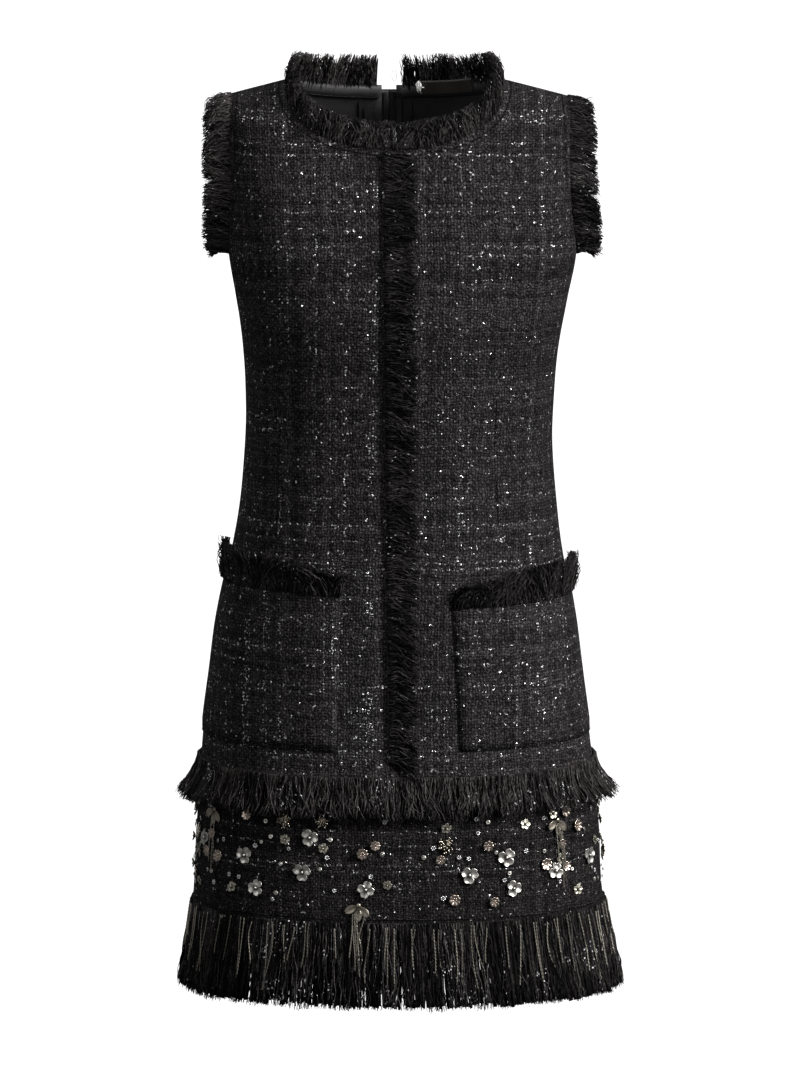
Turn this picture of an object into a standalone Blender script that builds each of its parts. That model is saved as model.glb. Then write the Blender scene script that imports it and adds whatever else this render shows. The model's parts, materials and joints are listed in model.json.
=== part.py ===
"""A sleeveless A-line dress of fringed tweed, filled out as if worn, built from the pieces it is sewn from.

Sizes are in millimetres and become metres where a mesh is made. The origin lies in the middle of the
dress, at the height where the shoulder seams meet the neck. +Z is up, the front faces -Y, and left and
right are as seen from the front, so right is +X. An angle round the body is 0 at the centre front, 90
at the right side seam and 180 at the centre back, and negative angles are on the left.
"""

import math
from collections import namedtuple

import bmesh
import bpy
from mathutils import Matrix, Vector

MM = 0.001

# Cloth.
TWEED = 2.0
POCKET_CLOTH = 1.6
FRINGE_CLOTH = 1.6
LINING_CLOTH = 0.8
TAPE_CLOTH = 1.0
SEAM_GAP = 0.4
LAY_GAP = 0.35

# The body of the dress, one row for each height: half its width, its depth in front of and behind the
# side seams, how square its outline is (2 is an ellipse) and how far its middle stands off to the right.
Section = namedtuple("Section", "height half_width front back squareness sway")
SECTIONS = (
    Section(30, 166.0, 79, 82, 3.0, -1.0),
    Section(-20, 166.0, 83, 88, 3.0, 0.5),
    Section(-60, 165.5, 89, 98, 3.0, 1.0),
    Section(-110, 164.5, 105, 105, 2.9, 2.0),
    Section(-160, 162.7, 116, 106, 2.8, 3.5),
    Section(-205, 154.5, 120, 102, 2.6, 2.5),
    Section(-255, 147.0, 117, 96, 2.45, 1.0),
    Section(-305, 144.2, 114.5, 92, 2.35, 0.5),
    Section(-342, 144.3, 114, 92, 2.3, 0.0),
    Section(-399, 148.8, 116.5, 97, 2.25, 0.0),
    Section(-442, 154.9, 120, 103, 2.25, -1.5),
    Section(-510, 168.0, 124.5, 111, 2.25, -3.0),
    Section(-562, 175.0, 126, 115, 2.25, -3.0),
    Section(-609, 181.4, 127, 118, 2.2, -2.8),
    Section(-650, 185.2, 128, 120, 2.2, -2.0),
    Section(-713, 190.4, 129.5, 122, 2.2, -1.0),
    Section(-783, 194.5, 131.5, 125, 2.2, -0.5),
    Section(-862, 209.0, 138, 132, 2.2, 1.5),
)

# Heights of the seams and the cuts.
UNDERARM = -161.0
BUST = -205.0
HIP_SEAM = -650.0
HEM_SEAM = -783.0
POCKET_BOTTOM = -618.0
POCKET_TOP = {-1: -465.0, 1: -477.0}

# The shoulders: they fall outwards from the neck points, and round over from front to back.
NECK_MIDDLE = -4.0
NECK_HALF_WIDTH = 100.0
NECK_SQUARENESS = 2.3
NECK_DROP_FRONT = 53.6
NECK_DROP_BACK = 17.3
SHOULDER_SLOPE = 0.254
SHOULDER_ROUND = 110.0
SHOULDER_SQUARENESS = 2.2
ARMHOLE_TURN = 26.5
ARMHOLE_SQUARENESS = 3.0

# The centre lines slant a little, as the dress hangs.
FRONT_LINE_TOP = -7.0
FRONT_LINE_BOTTOM = 0.0
BACK_LINE_TOP = -10.0
BACK_LINE_BOTTOM = -2.0

# Where a panel's rows and columns lie. The rows over the bust fan out between the neck and the armhole.
PANEL_ROWS = (HIP_SEAM, POCKET_BOTTOM, -567.0, -516.0, None, -410.0, -355.0, -305.0, -255.0, BUST)
NECK_RISES = {True: (0.33, 0.67), False: (0.25, 0.5, 0.76)}
NECK_TURNS = {True: (62, 40, 22, 9, 1.6, 0), False: (58, 33, 14, 2.5, 0)}
ARMHOLE_RISES = (0, 0.06, 0.22, 0.44, 0.66, 0.84, 0.94, 0.987, 1)
FRONT_COLUMNS = tuple(i / 10 for i in range(11))
BACK_COLUMNS = (0, 0.036, 0.15, 0.27, 0.39, 0.51, 0.62, 0.73, 0.82, 0.91, 1)
POCKET_FIRST_COLUMN = 2
LINING_FIRST_COLUMN = 1
LINING_FIRST_ROW = 6
BAND_COLUMNS = 24
BAND_ROWS = 3

# Fringe. A strip holds the roots, and each lock narrows to its tip.
STRIP = 6.0
LOCK_SHARE = 0.72
TIP_SHARE = 0.62
NECK_LEAN = 0.28
ARMHOLE_LEAN = 0.3
HEM_FRINGE = 72.0
HIP_FRINGE = 26.0
NECK_FRONT_FRINGE = 20.0
NECK_BACK_FRINGE = 28.0
ARMHOLE_FRINGE = 19.0
POCKET_FRINGE = 23.0
PLACKET_FRINGE = 24.0
BACK_OPENING = 19.0
HEM_LOCKS = 46
HIP_LOCKS = 25
NECK_FRONT_LOCKS = 18
NECK_BACK_LOCKS = 7
ARMHOLE_LOCKS = 15
POCKET_LOCKS = 9
PLACKET_LOCKS = 24

# Zip.
ZIP_FIRST_ROW = 5
SLIDER_HEIGHT = -31.0
SLIDER_BASE = TWEED / 2 + 2 * LAY_GAP
SLIDER_BODY = (6.4, 9.0, 1.6)
SLIDER_EAR = (0.9, 2.6, 3.0)
PULL_WIDTH = 3.4
PULL_LENGTH = 22.0
PULL_THICK = 1.3
PULL_EYE = 1.8
PULL_HOLE = 0.95
PIVOT_BAR = 0.6
PIVOT_BAR_SIDES = 16

# Label.
LABEL_LINES = slice(2, 8)
LABEL_HEIGHT = 13.0
LABEL_CLOTH = 0.7

# Metal flowers on the band: angle round the body, height, radius and turn in degrees.
Flower = namedtuple("Flower", "angle height radius turn")
FLOWERS = (
    Flower(-68, -714, 8.0, 12),
    Flower(-46.5, -722, 8.5, 40),
    Flower(-42, -752, 8.0, 65),
    Flower(-25, -700, 8.5, 8),
    Flower(-27, -733, 9.0, 30),
    Flower(-9, -748, 8.5, 74),
    Flower(20, -735, 8.5, 20),
    Flower(31, -720, 9.0, 52),
    Flower(33, -750, 8.0, 5),
    Flower(48, -738, 8.0, 80),
    Flower(66, -730, 8.5, 33),
    Flower(-112, -720, 8.5, 25),
    Flower(-131, -748, 8.0, 60),
    Flower(-149, -716, 8.5, 10),
    Flower(-168, -741, 8.5, 45),
    Flower(171, -712, 8.0, 70),
    Flower(152, -744, 8.5, 15),
    Flower(133, -718, 8.5, 55),
    Flower(113, -746, 8.0, 35),
)
FLOWER_THICK = 2.4
FLOWER_DOME = 1.2
FLOWER_SIDES = 16
FLOWER_NOTCH = 0.3

# Sprays of three leaves, each under a flower: angle round the body and height of its head.
Spray = namedtuple("Spray", "angle height")
SPRAYS = (Spray(-62, -684), Spray(-11, -763), Spray(50, -690), Spray(160, -688), Spray(-140, -757))
SPRAY_WIDTH = 18.0
SPRAY_HEAD = 2.5
LEAF_LENGTH = 19.0
LEAF_WIDTHS = (1.4, 1.3, 0.4)
LEAF_SPREAD = 0.9


def between(low, high, share):
    return low + (high - low) * share


def section_at(height):
    """The body's outline at a height, read from a smooth curve through the table's rows."""
    rows = SECTIONS
    last = len(rows) - 2
    i = next((k for k in range(last + 1) if height >= rows[k + 1].height), last)
    before, start, end, after = rows[max(i - 1, 0)], rows[i], rows[i + 1], rows[min(i + 2, last + 1)]
    span = end.height - start.height
    t = min(max((height - start.height) / span, -0.5), 1.5)

    def smooth(b, s, e, a):
        slope_in = (e - b) / (end.height - before.height)
        slope_out = (a - s) / (after.height - start.height)
        return (
            (2 * t**3 - 3 * t**2 + 1) * s
            + (t**3 - 2 * t**2 + t) * span * slope_in
            + (3 * t**2 - 2 * t**3) * e
            + (t**3 - t**2) * span * slope_out
        )

    return Section(*(smooth(*column) for column in zip(before, start, end, after)))


def shoulder_line(x):
    """The height of the shoulder seam, carried on over the neck."""
    return -SHOULDER_SLOPE * (abs(x - NECK_MIDDLE) - NECK_HALF_WIDTH)


def shoulder_share(x, height):
    """How much of its full depth the body has at a height: none on the shoulder seam."""
    down = min(max((shoulder_line(x) - height) / SHOULDER_ROUND, 0), 1)
    return (1 - (1 - down) ** SHOULDER_SQUARENESS) ** (1 / SHOULDER_SQUARENESS)


def on_body(angle, height):
    """The middle of the cloth at an angle and a height."""
    size = section_at(height)
    across, along = math.sin(math.radians(angle)), math.cos(math.radians(angle))
    reach = (abs(across) ** size.squareness + abs(along) ** size.squareness) ** (1 / size.squareness)
    x = size.sway + size.half_width * across / reach
    depth = size.front if along > 0 else size.back
    return Vector((x, -depth * along / reach * shoulder_share(x, height), height))


def outwards(angle, height):
    """The direction straight out of the cloth."""
    turn, drop = 0.5, 0.5
    round_it = on_body(angle + turn, height) - on_body(angle - turn, height)
    down = on_body(angle, height - drop) - on_body(angle, height)
    return down.cross(round_it).normalized()


def skin(angle, height, out=0.0):
    return on_body(angle, height) + outwards(angle, height) * out


def angle_at(x, height, front):
    """The angle where the front, or else the back, has this x."""
    size = section_at(height)
    across = min(abs(x - size.sway) / size.half_width, 1)
    along = (1 - across**size.squareness) ** (1 / size.squareness)
    angle = math.degrees(math.atan2(across, along))
    angle = angle if front else 180 - angle
    return math.copysign(angle, x - size.sway)


def centre_line(height, front):
    """The x of the centre front or centre back seam."""
    share = height / HIP_SEAM
    if front:
        return between(FRONT_LINE_TOP, FRONT_LINE_BOTTOM, share)
    return between(BACK_LINE_TOP, BACK_LINE_BOTTOM, share)


def neck_height(x, front):
    """The height of the neck's cut edge."""
    drop = NECK_DROP_FRONT if front else NECK_DROP_BACK
    across = min(abs(x - NECK_MIDDLE) / NECK_HALF_WIDTH, 1)
    return -drop * (1 - across**NECK_SQUARENESS) ** (1 / NECK_SQUARENESS)


def shoulder_tip(side):
    """The height of the shoulder seam's outer end."""
    return shoulder_line(on_body(side * (90 - ARMHOLE_TURN), 0).x)


def armhole_cut(rise, front, side):
    """(angle, height) on the armhole's edge. rise is 0 at the underarm and 1 at the shoulder."""
    turn = ARMHOLE_TURN * (1 - (1 - rise) ** ARMHOLE_SQUARENESS) ** (1 / ARMHOLE_SQUARENESS)
    angle = 90 - turn if front else 90 + turn
    return side * angle, between(UNDERARM, shoulder_tip(side), rise)


def inner_path(front, side):
    """(angle, height) down a panel's centre seam and round the neck, from the hip seam to the neck point."""
    centre = centre_line(0, front)
    neck = neck_height(centre, front)
    path = []
    rises = [between(BUST, neck, share) for share in NECK_RISES[front]]
    for height in [*panel_heights(side), *rises, neck]:
        path.append((angle_at(centre_line(height, front), height, front), height))
    tip = NECK_MIDDLE + side * NECK_HALF_WIDTH
    for turn in NECK_TURNS[front]:
        x = between(centre, tip, math.cos(math.radians(turn)) ** (2 / NECK_SQUARENESS))
        height = neck_height(x, front)
        path.append((angle_at(x, height, front), height))
    return path


def outer_path(front, side):
    """(angle, height) up a panel's side seam and round the armhole, from the hip seam to the shoulder."""
    path = [(side * 90, height) for height in panel_heights(side)]
    return path + [armhole_cut(rise, front, side) for rise in ARMHOLE_RISES]


def panel_heights(side):
    return [POCKET_TOP[side] if height is None else height for height in PANEL_ROWS]


def panel_points(front, side, out=0.0):
    """The panel's grid of points, as rows from the hip seam up, each from the centre to the side."""
    columns = FRONT_COLUMNS if front else BACK_COLUMNS
    level_rows = len(PANEL_ROWS)
    inner, outer = inner_path(front, side), outer_path(front, side)
    rows = []
    for j, ((angle_in, low), (angle_out, high)) in enumerate(zip(inner, outer)):
        fan = max(0, (j - level_rows + 1) / (len(inner) - level_rows))
        if abs(angle_in - angle_out) > 180:
            angle_in += math.copysign(360, angle_out)
        drop_in = shoulder_line(on_body(angle_in, low).x) - low
        drop_out = shoulder_line(on_body(angle_out, high).x) - high
        row = []
        for share in columns:
            angle = between(angle_in, angle_out, share)
            level = between(low, high, share)
            under_seam = shoulder_line(on_body(angle, level).x) - between(drop_in, drop_out, share)
            row.append(skin(angle, between(level, under_seam, fan), out))
        rows.append(row)
    return rows


def part_seams(rows, front, side):
    """Draws the edges back from the seams, so that neighbours are parted."""
    back_off = SEAM_GAP / 2
    towards = -1 if front else 1
    for row in rows:
        row[0].x += side * back_off
    for row in rows[: len(PANEL_ROWS) + 1]:
        row[-1].y += towards * back_off
    for point in rows[-1]:
        point.y += towards * back_off
    for point in rows[0]:
        point.z += back_off
    return rows


def finish(name, colour, roughness, metallic=0.0):
    material = bpy.data.materials.new(name)
    material.use_nodes = True
    shader = material.node_tree.nodes["Principled BSDF"]
    shader.inputs["Base Color"].default_value = (*colour, 1)
    shader.inputs["Roughness"].default_value = roughness
    shader.inputs["Metallic"].default_value = metallic
    return material


def add(name, bm, material, thickness=0.0):
    """Puts a mesh in the dress's collection, as cloth of a thickness where one is given."""
    mesh = bpy.data.meshes.new(name)
    bm.to_mesh(mesh)
    bm.free()
    mesh.materials.append(material)
    piece = bpy.data.objects.new(name, mesh)
    bpy.data.collections["dress"].objects.link(piece)
    if thickness:
        solidify = piece.modifiers.new("cloth", "SOLIDIFY")
        solidify.thickness = thickness * MM
        solidify.offset = 0
        solidify.use_even_offset = True
    return piece


def wall(name, rows, material, thickness):
    """Cloth through rows of points."""
    bm = bmesh.new()
    down, across = len(rows) - 1, len(rows[0]) - 1
    bmesh.ops.create_grid(bm, x_segments=across, y_segments=down, size=0.5)
    for vert in bm.verts:
        i, j = round((vert.co.x + 0.5) * across), round((vert.co.y + 0.5) * down)
        vert.co = rows[j][i] * MM
    return add(name, bm, material, thickness)


def root_lines(locks):
    """Where the locks' roots begin and end, as shares along the strip, with the strip's own ends."""
    lines = [0.0]
    for k in range(locks):
        lines += [(k + 0.5 - LOCK_SHARE / 2) / locks, (k + 0.5 + LOCK_SHARE / 2) / locks]
    return [*lines, 1.0]


def comb(name, cloth, locks, length, material, thickness=FRINGE_CLOTH, widths=(TIP_SHARE,), spread=0.0):
    """Fringe: a strip along a seam and the locks that hang from it.

    cloth(share, reach, lock) gives the middle of the fringe: share runs along the seam from 0 to 1, and
    reach in millimetres from the seam. widths are a lock's widths as shares of its root's, and spread
    turns the locks apart like a fan.
    """
    bm = bmesh.new()
    cells = 2 * locks + 1
    strip = length[0]
    pitch = 1 / locks
    lines = root_lines(locks)
    bmesh.ops.create_grid(bm, x_segments=cells, y_segments=1, size=0.5)
    roots = {}
    for vert in bm.verts:
        i, j = round((vert.co.x + 0.5) * cells), round(vert.co.y + 0.5)
        vert.co = cloth(lines[i], strip * j, None) * MM
        if j == 1:
            roots[i] = vert
    for k in range(locks):
        ends = {-1: roots[2 * k + 1], 1: roots[2 * k + 2]}
        middle = (k + 0.5) * pitch
        fan = spread * (k - (locks - 1) / 2) * pitch
        for step, width in enumerate(widths, 1):
            edge = bm.edges.get(list(ends.values()))
            made = bmesh.ops.extrude_edge_only(bm, edges=[edge])["geom"]
            fresh = [item for item in made if isinstance(item, bmesh.types.BMVert)]
            down = step / len(widths)
            for side, old in list(ends.items()):
                new = next(v for v in fresh if any(e.other_vert(v) is old for e in v.link_edges))
                share = middle + side * width * LOCK_SHARE * pitch / 2 + fan * down
                new.co = cloth(share, strip + length[1] * down, k) * MM
                ends[side] = new
    return add(name, bm, material, thickness)


def wave(k, size):
    """An uneven but repeatable step for lock k, between -size and size."""
    return 0 if k is None else size * math.sin(2.4 * k + 0.9 * math.sin(1.7 * k))


def build_panels(tweed):
    for front in (True, False):
        for side in (-1, 1):
            rows = part_seams(panel_points(front, side), front, side)
            name = f"{'front' if front else 'back'}_{'left' if side < 0 else 'right'}"
            wall(name, rows, tweed, TWEED)


def build_band(tweed):
    for name, first in (("band_front", -90), ("band_back", 90)):
        towards = -1 if name == "band_front" else 1
        rows = []
        for j in range(BAND_ROWS + 1):
            height = between(HEM_SEAM, HIP_SEAM - SEAM_GAP / 2, j / BAND_ROWS)
            row = [skin(first + 180 * i / BAND_COLUMNS, height) for i in range(BAND_COLUMNS + 1)]
            for end in (row[0], row[-1]):
                end.y += towards * SEAM_GAP / 2
            rows.append(row)
        wall(name, rows, tweed, TWEED)


def build_pockets(tweed, yarn):
    out = TWEED / 2 + LAY_GAP + POCKET_CLOTH / 2
    top_row = PANEL_ROWS.index(None)
    for side, name in ((-1, "left"), (1, "right")):
        rows = panel_points(True, side, out)[1 : top_row + 1]
        rows = [row[POCKET_FIRST_COLUMN:] for row in rows]
        for row in rows:
            row[-1].y -= SEAM_GAP / 2
        wall(f"pocket_{name}", rows, tweed, POCKET_CLOTH)
        top = POCKET_TOP[side]
        inner = angle_at(centre_line(top, True), top, True)
        first = between(inner, side * 90, POCKET_FIRST_COLUMN / 10)

        def cloth(share, reach, lock, first=first, top=top, side=side):
            flare = 7 * (reach / (STRIP + POCKET_FRINGE)) ** 1.5
            rise = reach * (1 + wave(lock, 0.07))
            angle = between(first, side * 89.7, share)
            return skin(angle, top + SEAM_GAP + rise, out + LAY_GAP + flare)

        comb(f"pocket_fringe_{name}", cloth, POCKET_LOCKS, (STRIP, POCKET_FRINGE), yarn)


def neck_edge(front, side):
    """(point, the way its fringe stands) round the neck's cut edge, from the centre to the neck point."""
    first = len(PANEL_ROWS) + len(NECK_RISES[front])
    rows = part_seams(panel_points(front, side), front, side)[first:]
    edge = []
    for row, (angle, height) in zip(rows, inner_path(front, side)[first:]):
        point = row[0]
        inwards = Vector((NECK_MIDDLE - point.x, -point.y, 0)).normalized()
        stand = (Vector((0, 0, 1)) + NECK_LEAN * inwards).normalized()
        edge.append((point + stand * clearance(angle, height, stand), stand))
    return edge


def clearance(angle, height, stand):
    """How far fringe that stands this way starts from the middle of the cloth's edge."""
    return 1.5 * LAY_GAP + 1.3 * abs(outwards(angle, height).dot(stand))


def even_steps(path, share):
    """The point at a share of the length of a path of (point, direction)."""
    lengths = [0.0]
    for (a, _), (b, _) in zip(path, path[1:]):
        lengths.append(lengths[-1] + (b - a).length)
    goal = share * lengths[-1]
    i = next((k for k in range(len(path) - 2) if lengths[k + 1] >= goal), len(path) - 2)
    t = (goal - lengths[i]) / (lengths[i + 1] - lengths[i])
    (a, p), (b, q) = path[i], path[i + 1]
    return a.lerp(b, t), p.lerp(q, t).normalized()


def beyond(path, distance):
    """What is left of a path past a distance in x from its start."""
    start = path[0][0].x
    i = next(k for k, (point, _) in enumerate(path) if abs(point.x - start) > distance)
    (a, p), (b, q) = path[i - 1], path[i]
    t = (distance - abs(a.x - start)) / abs(b.x - a.x)
    return [(a.lerp(b, t), p.lerp(q, t))] + path[i:]


def back_neck(side):
    """The back neck's edge from beside the zip to the neck point."""
    return beyond(neck_edge(False, side), BACK_OPENING / 2)


def standing_fringe(name, path, locks, length, yarn, last=1.0):
    """Fringe that stands out from a cut edge. last is the last lock's length as a share of the first's."""

    def cloth(share, reach, lock):
        point, stand = even_steps(path, share)
        past = max(reach - STRIP, 0) * between(1, last, share) * (1 + wave(lock, 0.08))
        return point + stand * (min(reach, STRIP) + past)

    comb(name, cloth, locks, (STRIP, length), yarn)


def build_neck_fringe(yarn):
    front = neck_edge(True, -1)[::-1] + neck_edge(True, 1)
    for point, _ in (front[0], front[-1]):
        point.y -= SEAM_GAP
    standing_fringe("neck_fringe_front", front, NECK_FRONT_LOCKS, NECK_FRONT_FRINGE, yarn)
    for side, name in ((-1, "left"), (1, "right")):
        path = back_neck(side)
        path[-1][0].y += SEAM_GAP
        fringe = f"neck_fringe_back_{name}"
        standing_fringe(fringe, path, NECK_BACK_LOCKS, NECK_BACK_FRINGE, yarn, last=0.72)


def armhole_edge(front, side):
    """(point, the way its fringe stands) up the armhole's cut edge."""
    first = len(PANEL_ROWS)
    rows = part_seams(panel_points(front, side), front, side)[first:]
    edge = []
    for row, (angle, height) in zip(rows, outer_path(front, side)[first:]):
        point = row[-1]
        middle = Vector((point.x, 0, between(UNDERARM, shoulder_tip(side), 0.55)))
        inwards = (middle - point).normalized()
        stand = (Vector((side, 0, 0)) + ARMHOLE_LEAN * inwards).normalized()
        edge.append((point + stand * clearance(angle, height, stand), stand))
    return edge


def build_armhole_fringe(yarn):
    for side, name in ((-1, "left"), (1, "right")):
        path = armhole_edge(True, side)[::-1] + armhole_edge(False, side)
        path[0][0].y -= SEAM_GAP
        path[-1][0].y += SEAM_GAP
        standing_fringe(f"armhole_fringe_{name}", path, ARMHOLE_LOCKS, ARMHOLE_FRINGE, yarn)


def build_placket_fringe(yarn):
    """The strip lies on the left front's edge, and its locks lie over the right front."""
    top, bottom = -58.0, -628.0
    flat = TWEED / 2 + 2 * LAY_GAP + FRINGE_CLOTH / 2

    def cloth(share, reach, lock):
        height = between(top, bottom, share)
        past = max(reach - STRIP, 0) * (1 + wave(lock, 0.06))
        lean = math.radians(between(2, 38, min(max(share, 0), 1) ** 1.5))
        x = centre_line(height, True) + min(reach - STRIP, 0) + past * math.cos(lean)
        low = height - past * math.sin(lean)
        return skin(angle_at(x, low, True), low, flat + past * between(0.06, 0.2, share**4))

    comb("placket_fringe", cloth, PLACKET_LOCKS, (STRIP, PLACKET_FRINGE), yarn)


def build_hip_fringe(yarn):
    flat = TWEED / 2 + 1.5 * LAY_GAP + FRINGE_CLOTH / 2
    top = HIP_SEAM + STRIP - 1
    for name, first in (("hip_fringe_front", -90), ("hip_fringe_back", 90)):

        def cloth(share, reach, lock, first=first):
            angle = first + between(0.15, 179.85, share)
            flare = 8 + 7 * abs(math.sin(math.radians(angle))) ** 4
            past = max(reach - STRIP, 0) / HIP_FRINGE
            height = top - reach * (1 + wave(lock, 0.05))
            return skin(angle, height, flat + flare * past**1.4)

        comb(name, cloth, HIP_LOCKS, (STRIP, HIP_FRINGE), yarn)


def build_hem_fringe(yarn):
    for name, first in (("hem_fringe_front", -90), ("hem_fringe_back", 90)):

        def cloth(share, reach, lock, first=first):
            angle = first + between(0.15, 179.85, share)
            past = max(reach - STRIP, 0) / HEM_FRINGE
            height = HEM_SEAM - SEAM_GAP - reach - wave(lock, 4.0) * past
            return skin(angle + wave(lock, 0.5) * past, height, wave(lock, 1.5) * past)

        comb(name, cloth, HEM_LOCKS, (STRIP, HEM_FRINGE), yarn, widths=(0.92, 0.7))


def build_lining(lining):
    """The back lining hangs inside from the neck's strip to below the zip's upper part."""
    inside = -(TWEED / 2 + LAY_GAP + LINING_CLOTH / 2)
    for side, name in ((-1, "left"), (1, "right")):
        rows = part_seams(panel_points(False, side, inside), False, side)[LINING_FIRST_ROW:]
        wall(f"lining_back_{name}", [row[LINING_FIRST_COLUMN:] for row in rows], lining, LINING_CLOTH)


def build_zip_tapes(tape):
    """Each tape lies under the panel's first column, from the neck's edge down."""
    inside = -(TWEED / 2 + LAY_GAP + TAPE_CLOTH / 2)
    last = len(PANEL_ROWS) + len(NECK_RISES[False]) + 1
    for side, name in ((-1, "left"), (1, "right")):
        rows = part_seams(panel_points(False, side, inside), False, side)[ZIP_FIRST_ROW:last]
        strip = [[row[0], row[0].lerp(row[1], 1 - SEAM_GAP / (row[1] - row[0]).length)] for row in rows]
        wall(f"zip_tape_{name}", strip, tape, TAPE_CLOTH)


def zip_frame():
    """The place of the slider on the back, with +X across, +Y up the seam and +Z out of the cloth.

    It lies on the straight stretch of cloth between the back's last two rows below the neck's edge.
    """
    last = len(PANEL_ROWS) + len(NECK_RISES[False])
    low, high = (on_body(*inner_path(False, 1)[row]) for row in (last - 1, last))
    point = low.lerp(high, (SLIDER_HEIGHT - low.z) / (high.z - low.z))
    point.x = centre_line(SLIDER_HEIGHT, False)
    up = Vector((0, high.y - low.y, high.z - low.z)).normalized()
    across = Vector((-1, 0, 0))
    frame = Matrix((across, up, across.cross(up))).transposed().to_4x4()
    frame.translation = point * MM
    return frame


def block(name, size, middle, frame, material):
    bm = bmesh.new()
    bmesh.ops.create_cube(bm, size=1)
    bmesh.ops.scale(bm, vec=Vector(size) * MM, verts=bm.verts)
    bmesh.ops.translate(bm, vec=Vector(middle) * MM, verts=bm.verts)
    piece = add(name, bm, material)
    piece.matrix_world = frame
    return piece


def pivot_height():
    """How far the pull's pivot stands out of the middle of the cloth."""
    return SLIDER_BASE + SLIDER_BODY[2] + LAY_GAP + PULL_EYE


def build_zip_slider(metal):
    frame = zip_frame()
    base = SLIDER_BASE
    body = block("zip_slider", SLIDER_BODY, (0, 0, base + SLIDER_BODY[2] / 2), frame, metal)
    ear_at = PULL_WIDTH / 2 + LAY_GAP + SLIDER_EAR[0] / 2
    ear_height = pivot_height() + SLIDER_EAR[1] / 2 - base
    helpers = []
    for side in (-1, 1):
        size = (SLIDER_EAR[0], SLIDER_EAR[1], ear_height)
        helpers.append(block(f"ear_{side}", size, (side * ear_at, 0, base + ear_height / 2), frame, metal))
    bm = bmesh.new()
    bmesh.ops.create_cone(
        bm, cap_ends=True, segments=PIVOT_BAR_SIDES, radius1=PIVOT_BAR * MM, radius2=PIVOT_BAR * MM,
        depth=(2 * ear_at + SLIDER_EAR[0] / 2) * MM, matrix=Matrix.Rotation(math.pi / 2, 4, "Y"),
    )
    bmesh.ops.translate(bm, vec=(0, 0, pivot_height() * MM), verts=bm.verts)
    bar = add("pivot_bar", bm, metal)
    bar.matrix_world = frame
    helpers.append(bar)
    for helper in helpers:
        bpy.data.collections["dress"].objects.unlink(helper)
        bpy.data.collections["cutters"].objects.link(helper)
        helper.hide_render = True
        union = body.modifiers.new(helper.name, "BOOLEAN")
        union.operation = "UNION"
        union.solver = "EXACT"
        union.object = helper


def build_zip_pull(metal):
    """The tab turns about its eye, which is the object's own origin."""
    outline = bpy.data.curves.new("zip_pull", "CURVE")
    outline.dimensions = "2D"
    outline.fill_mode = "BOTH"
    outline.extrude = PULL_WIDTH / 2 * MM
    eye_sides = 20
    open_from = math.acos((PULL_EYE - PULL_THICK) / PULL_EYE)
    shape = []
    for k in range(eye_sides + 1):
        turn = between(-math.pi / 2, 1.5 * math.pi - open_from, k / eye_sides) - math.pi / 2
        shape.append((PULL_EYE * math.cos(turn + math.pi / 2), PULL_EYE * math.sin(turn + math.pi / 2)))
    bottom = -PULL_EYE
    shape.append((-PULL_LENGTH, bottom + PULL_THICK))
    shape.append((-PULL_LENGTH, bottom))
    hole = []
    for k in range(eye_sides):
        turn = -2 * math.pi * k / eye_sides
        hole.append((PULL_HOLE * math.cos(turn), PULL_HOLE * math.sin(turn)))
    for points in (shape, hole):
        spline = outline.splines.new("POLY")
        spline.points.add(len(points) - 1)
        spline.use_cyclic_u = True
        for point, (x, y) in zip(spline.points, points):
            point.co = (x * MM, y * MM, 0, 1)
    outline.materials.append(metal)
    pull = bpy.data.objects.new("zip_pull", outline)
    bpy.data.collections["dress"].objects.link(pull)
    # The outline's x runs up the seam and its y out of the cloth.
    turned = Matrix(((0, 0, 1, 0), (1, 0, 0, 0), (0, 1, 0, 0), (0, 0, 0, 1)))
    out = Matrix.Translation((0, 0, pivot_height() * MM))
    pull.matrix_world = zip_frame() @ out @ turned


def build_label(ribbon):
    """A blank label lies on the inside of the back neck's strip, along the strip's own lines."""
    inside = FRINGE_CLOTH / 2 + 1.5 * LAY_GAP + LABEL_CLOTH / 2
    path = back_neck(1)
    edge = [even_steps(path, share) for share in root_lines(NECK_BACK_LOCKS)]
    bottom = []
    for (before, _), (point, stand), (after, _) in zip(edge, edge[1:], edge[2:]):
        bottom.append((point + (after - before).cross(stand).normalized() * inside, stand))
    rows = [[point + stand * rise for point, stand in bottom[LABEL_LINES]] for rise in (0, LABEL_HEIGHT)]
    wall("neck_label", rows, ribbon, LABEL_CLOTH)


def tangent_frame(angle, height, out):
    normal = outwards(angle, height)
    up = (Vector((0, 0, 1)) - normal.z * normal).normalized()
    frame = Matrix((up.cross(normal), up, normal)).transposed().to_4x4()
    frame.translation = skin(angle, height, out) * MM
    return frame


def build_flowers(pewter):
    """Four petals round a low dome, as one solid that lies flat on the band."""
    for number, flower in enumerate(FLOWERS, 1):
        bm = bmesh.new()
        bmesh.ops.create_circle(bm, cap_ends=True, segments=FLOWER_SIDES, radius=flower.radius * MM)
        for vert in bm.verts:
            turn = math.atan2(vert.co.y, vert.co.x)
            vert.co *= 1 - FLOWER_NOTCH * (1 - abs(math.cos(2 * turn))) ** 2
        under = bm.faces[:]
        top = bmesh.ops.extrude_face_region(bm, geom=under)["geom"]
        lifted = [item for item in top if isinstance(item, bmesh.types.BMVert)]
        bmesh.ops.translate(bm, vec=(0, 0, FLOWER_THICK * MM), verts=lifted)
        face = next(item for item in top if isinstance(item, bmesh.types.BMFace))
        middle = bmesh.ops.poke(bm, faces=[face])["verts"]
        bmesh.ops.translate(bm, vec=(0, 0, FLOWER_DOME * MM), verts=middle)
        bmesh.ops.recalc_face_normals(bm, faces=bm.faces)
        piece = add(f"flower_{number}", bm, pewter)
        frame = tangent_frame(flower.angle, flower.height, TWEED / 2 + 2 * LAY_GAP)
        piece.matrix_world = frame @ Matrix.Rotation(math.radians(flower.turn), 4, "Z")


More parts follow.
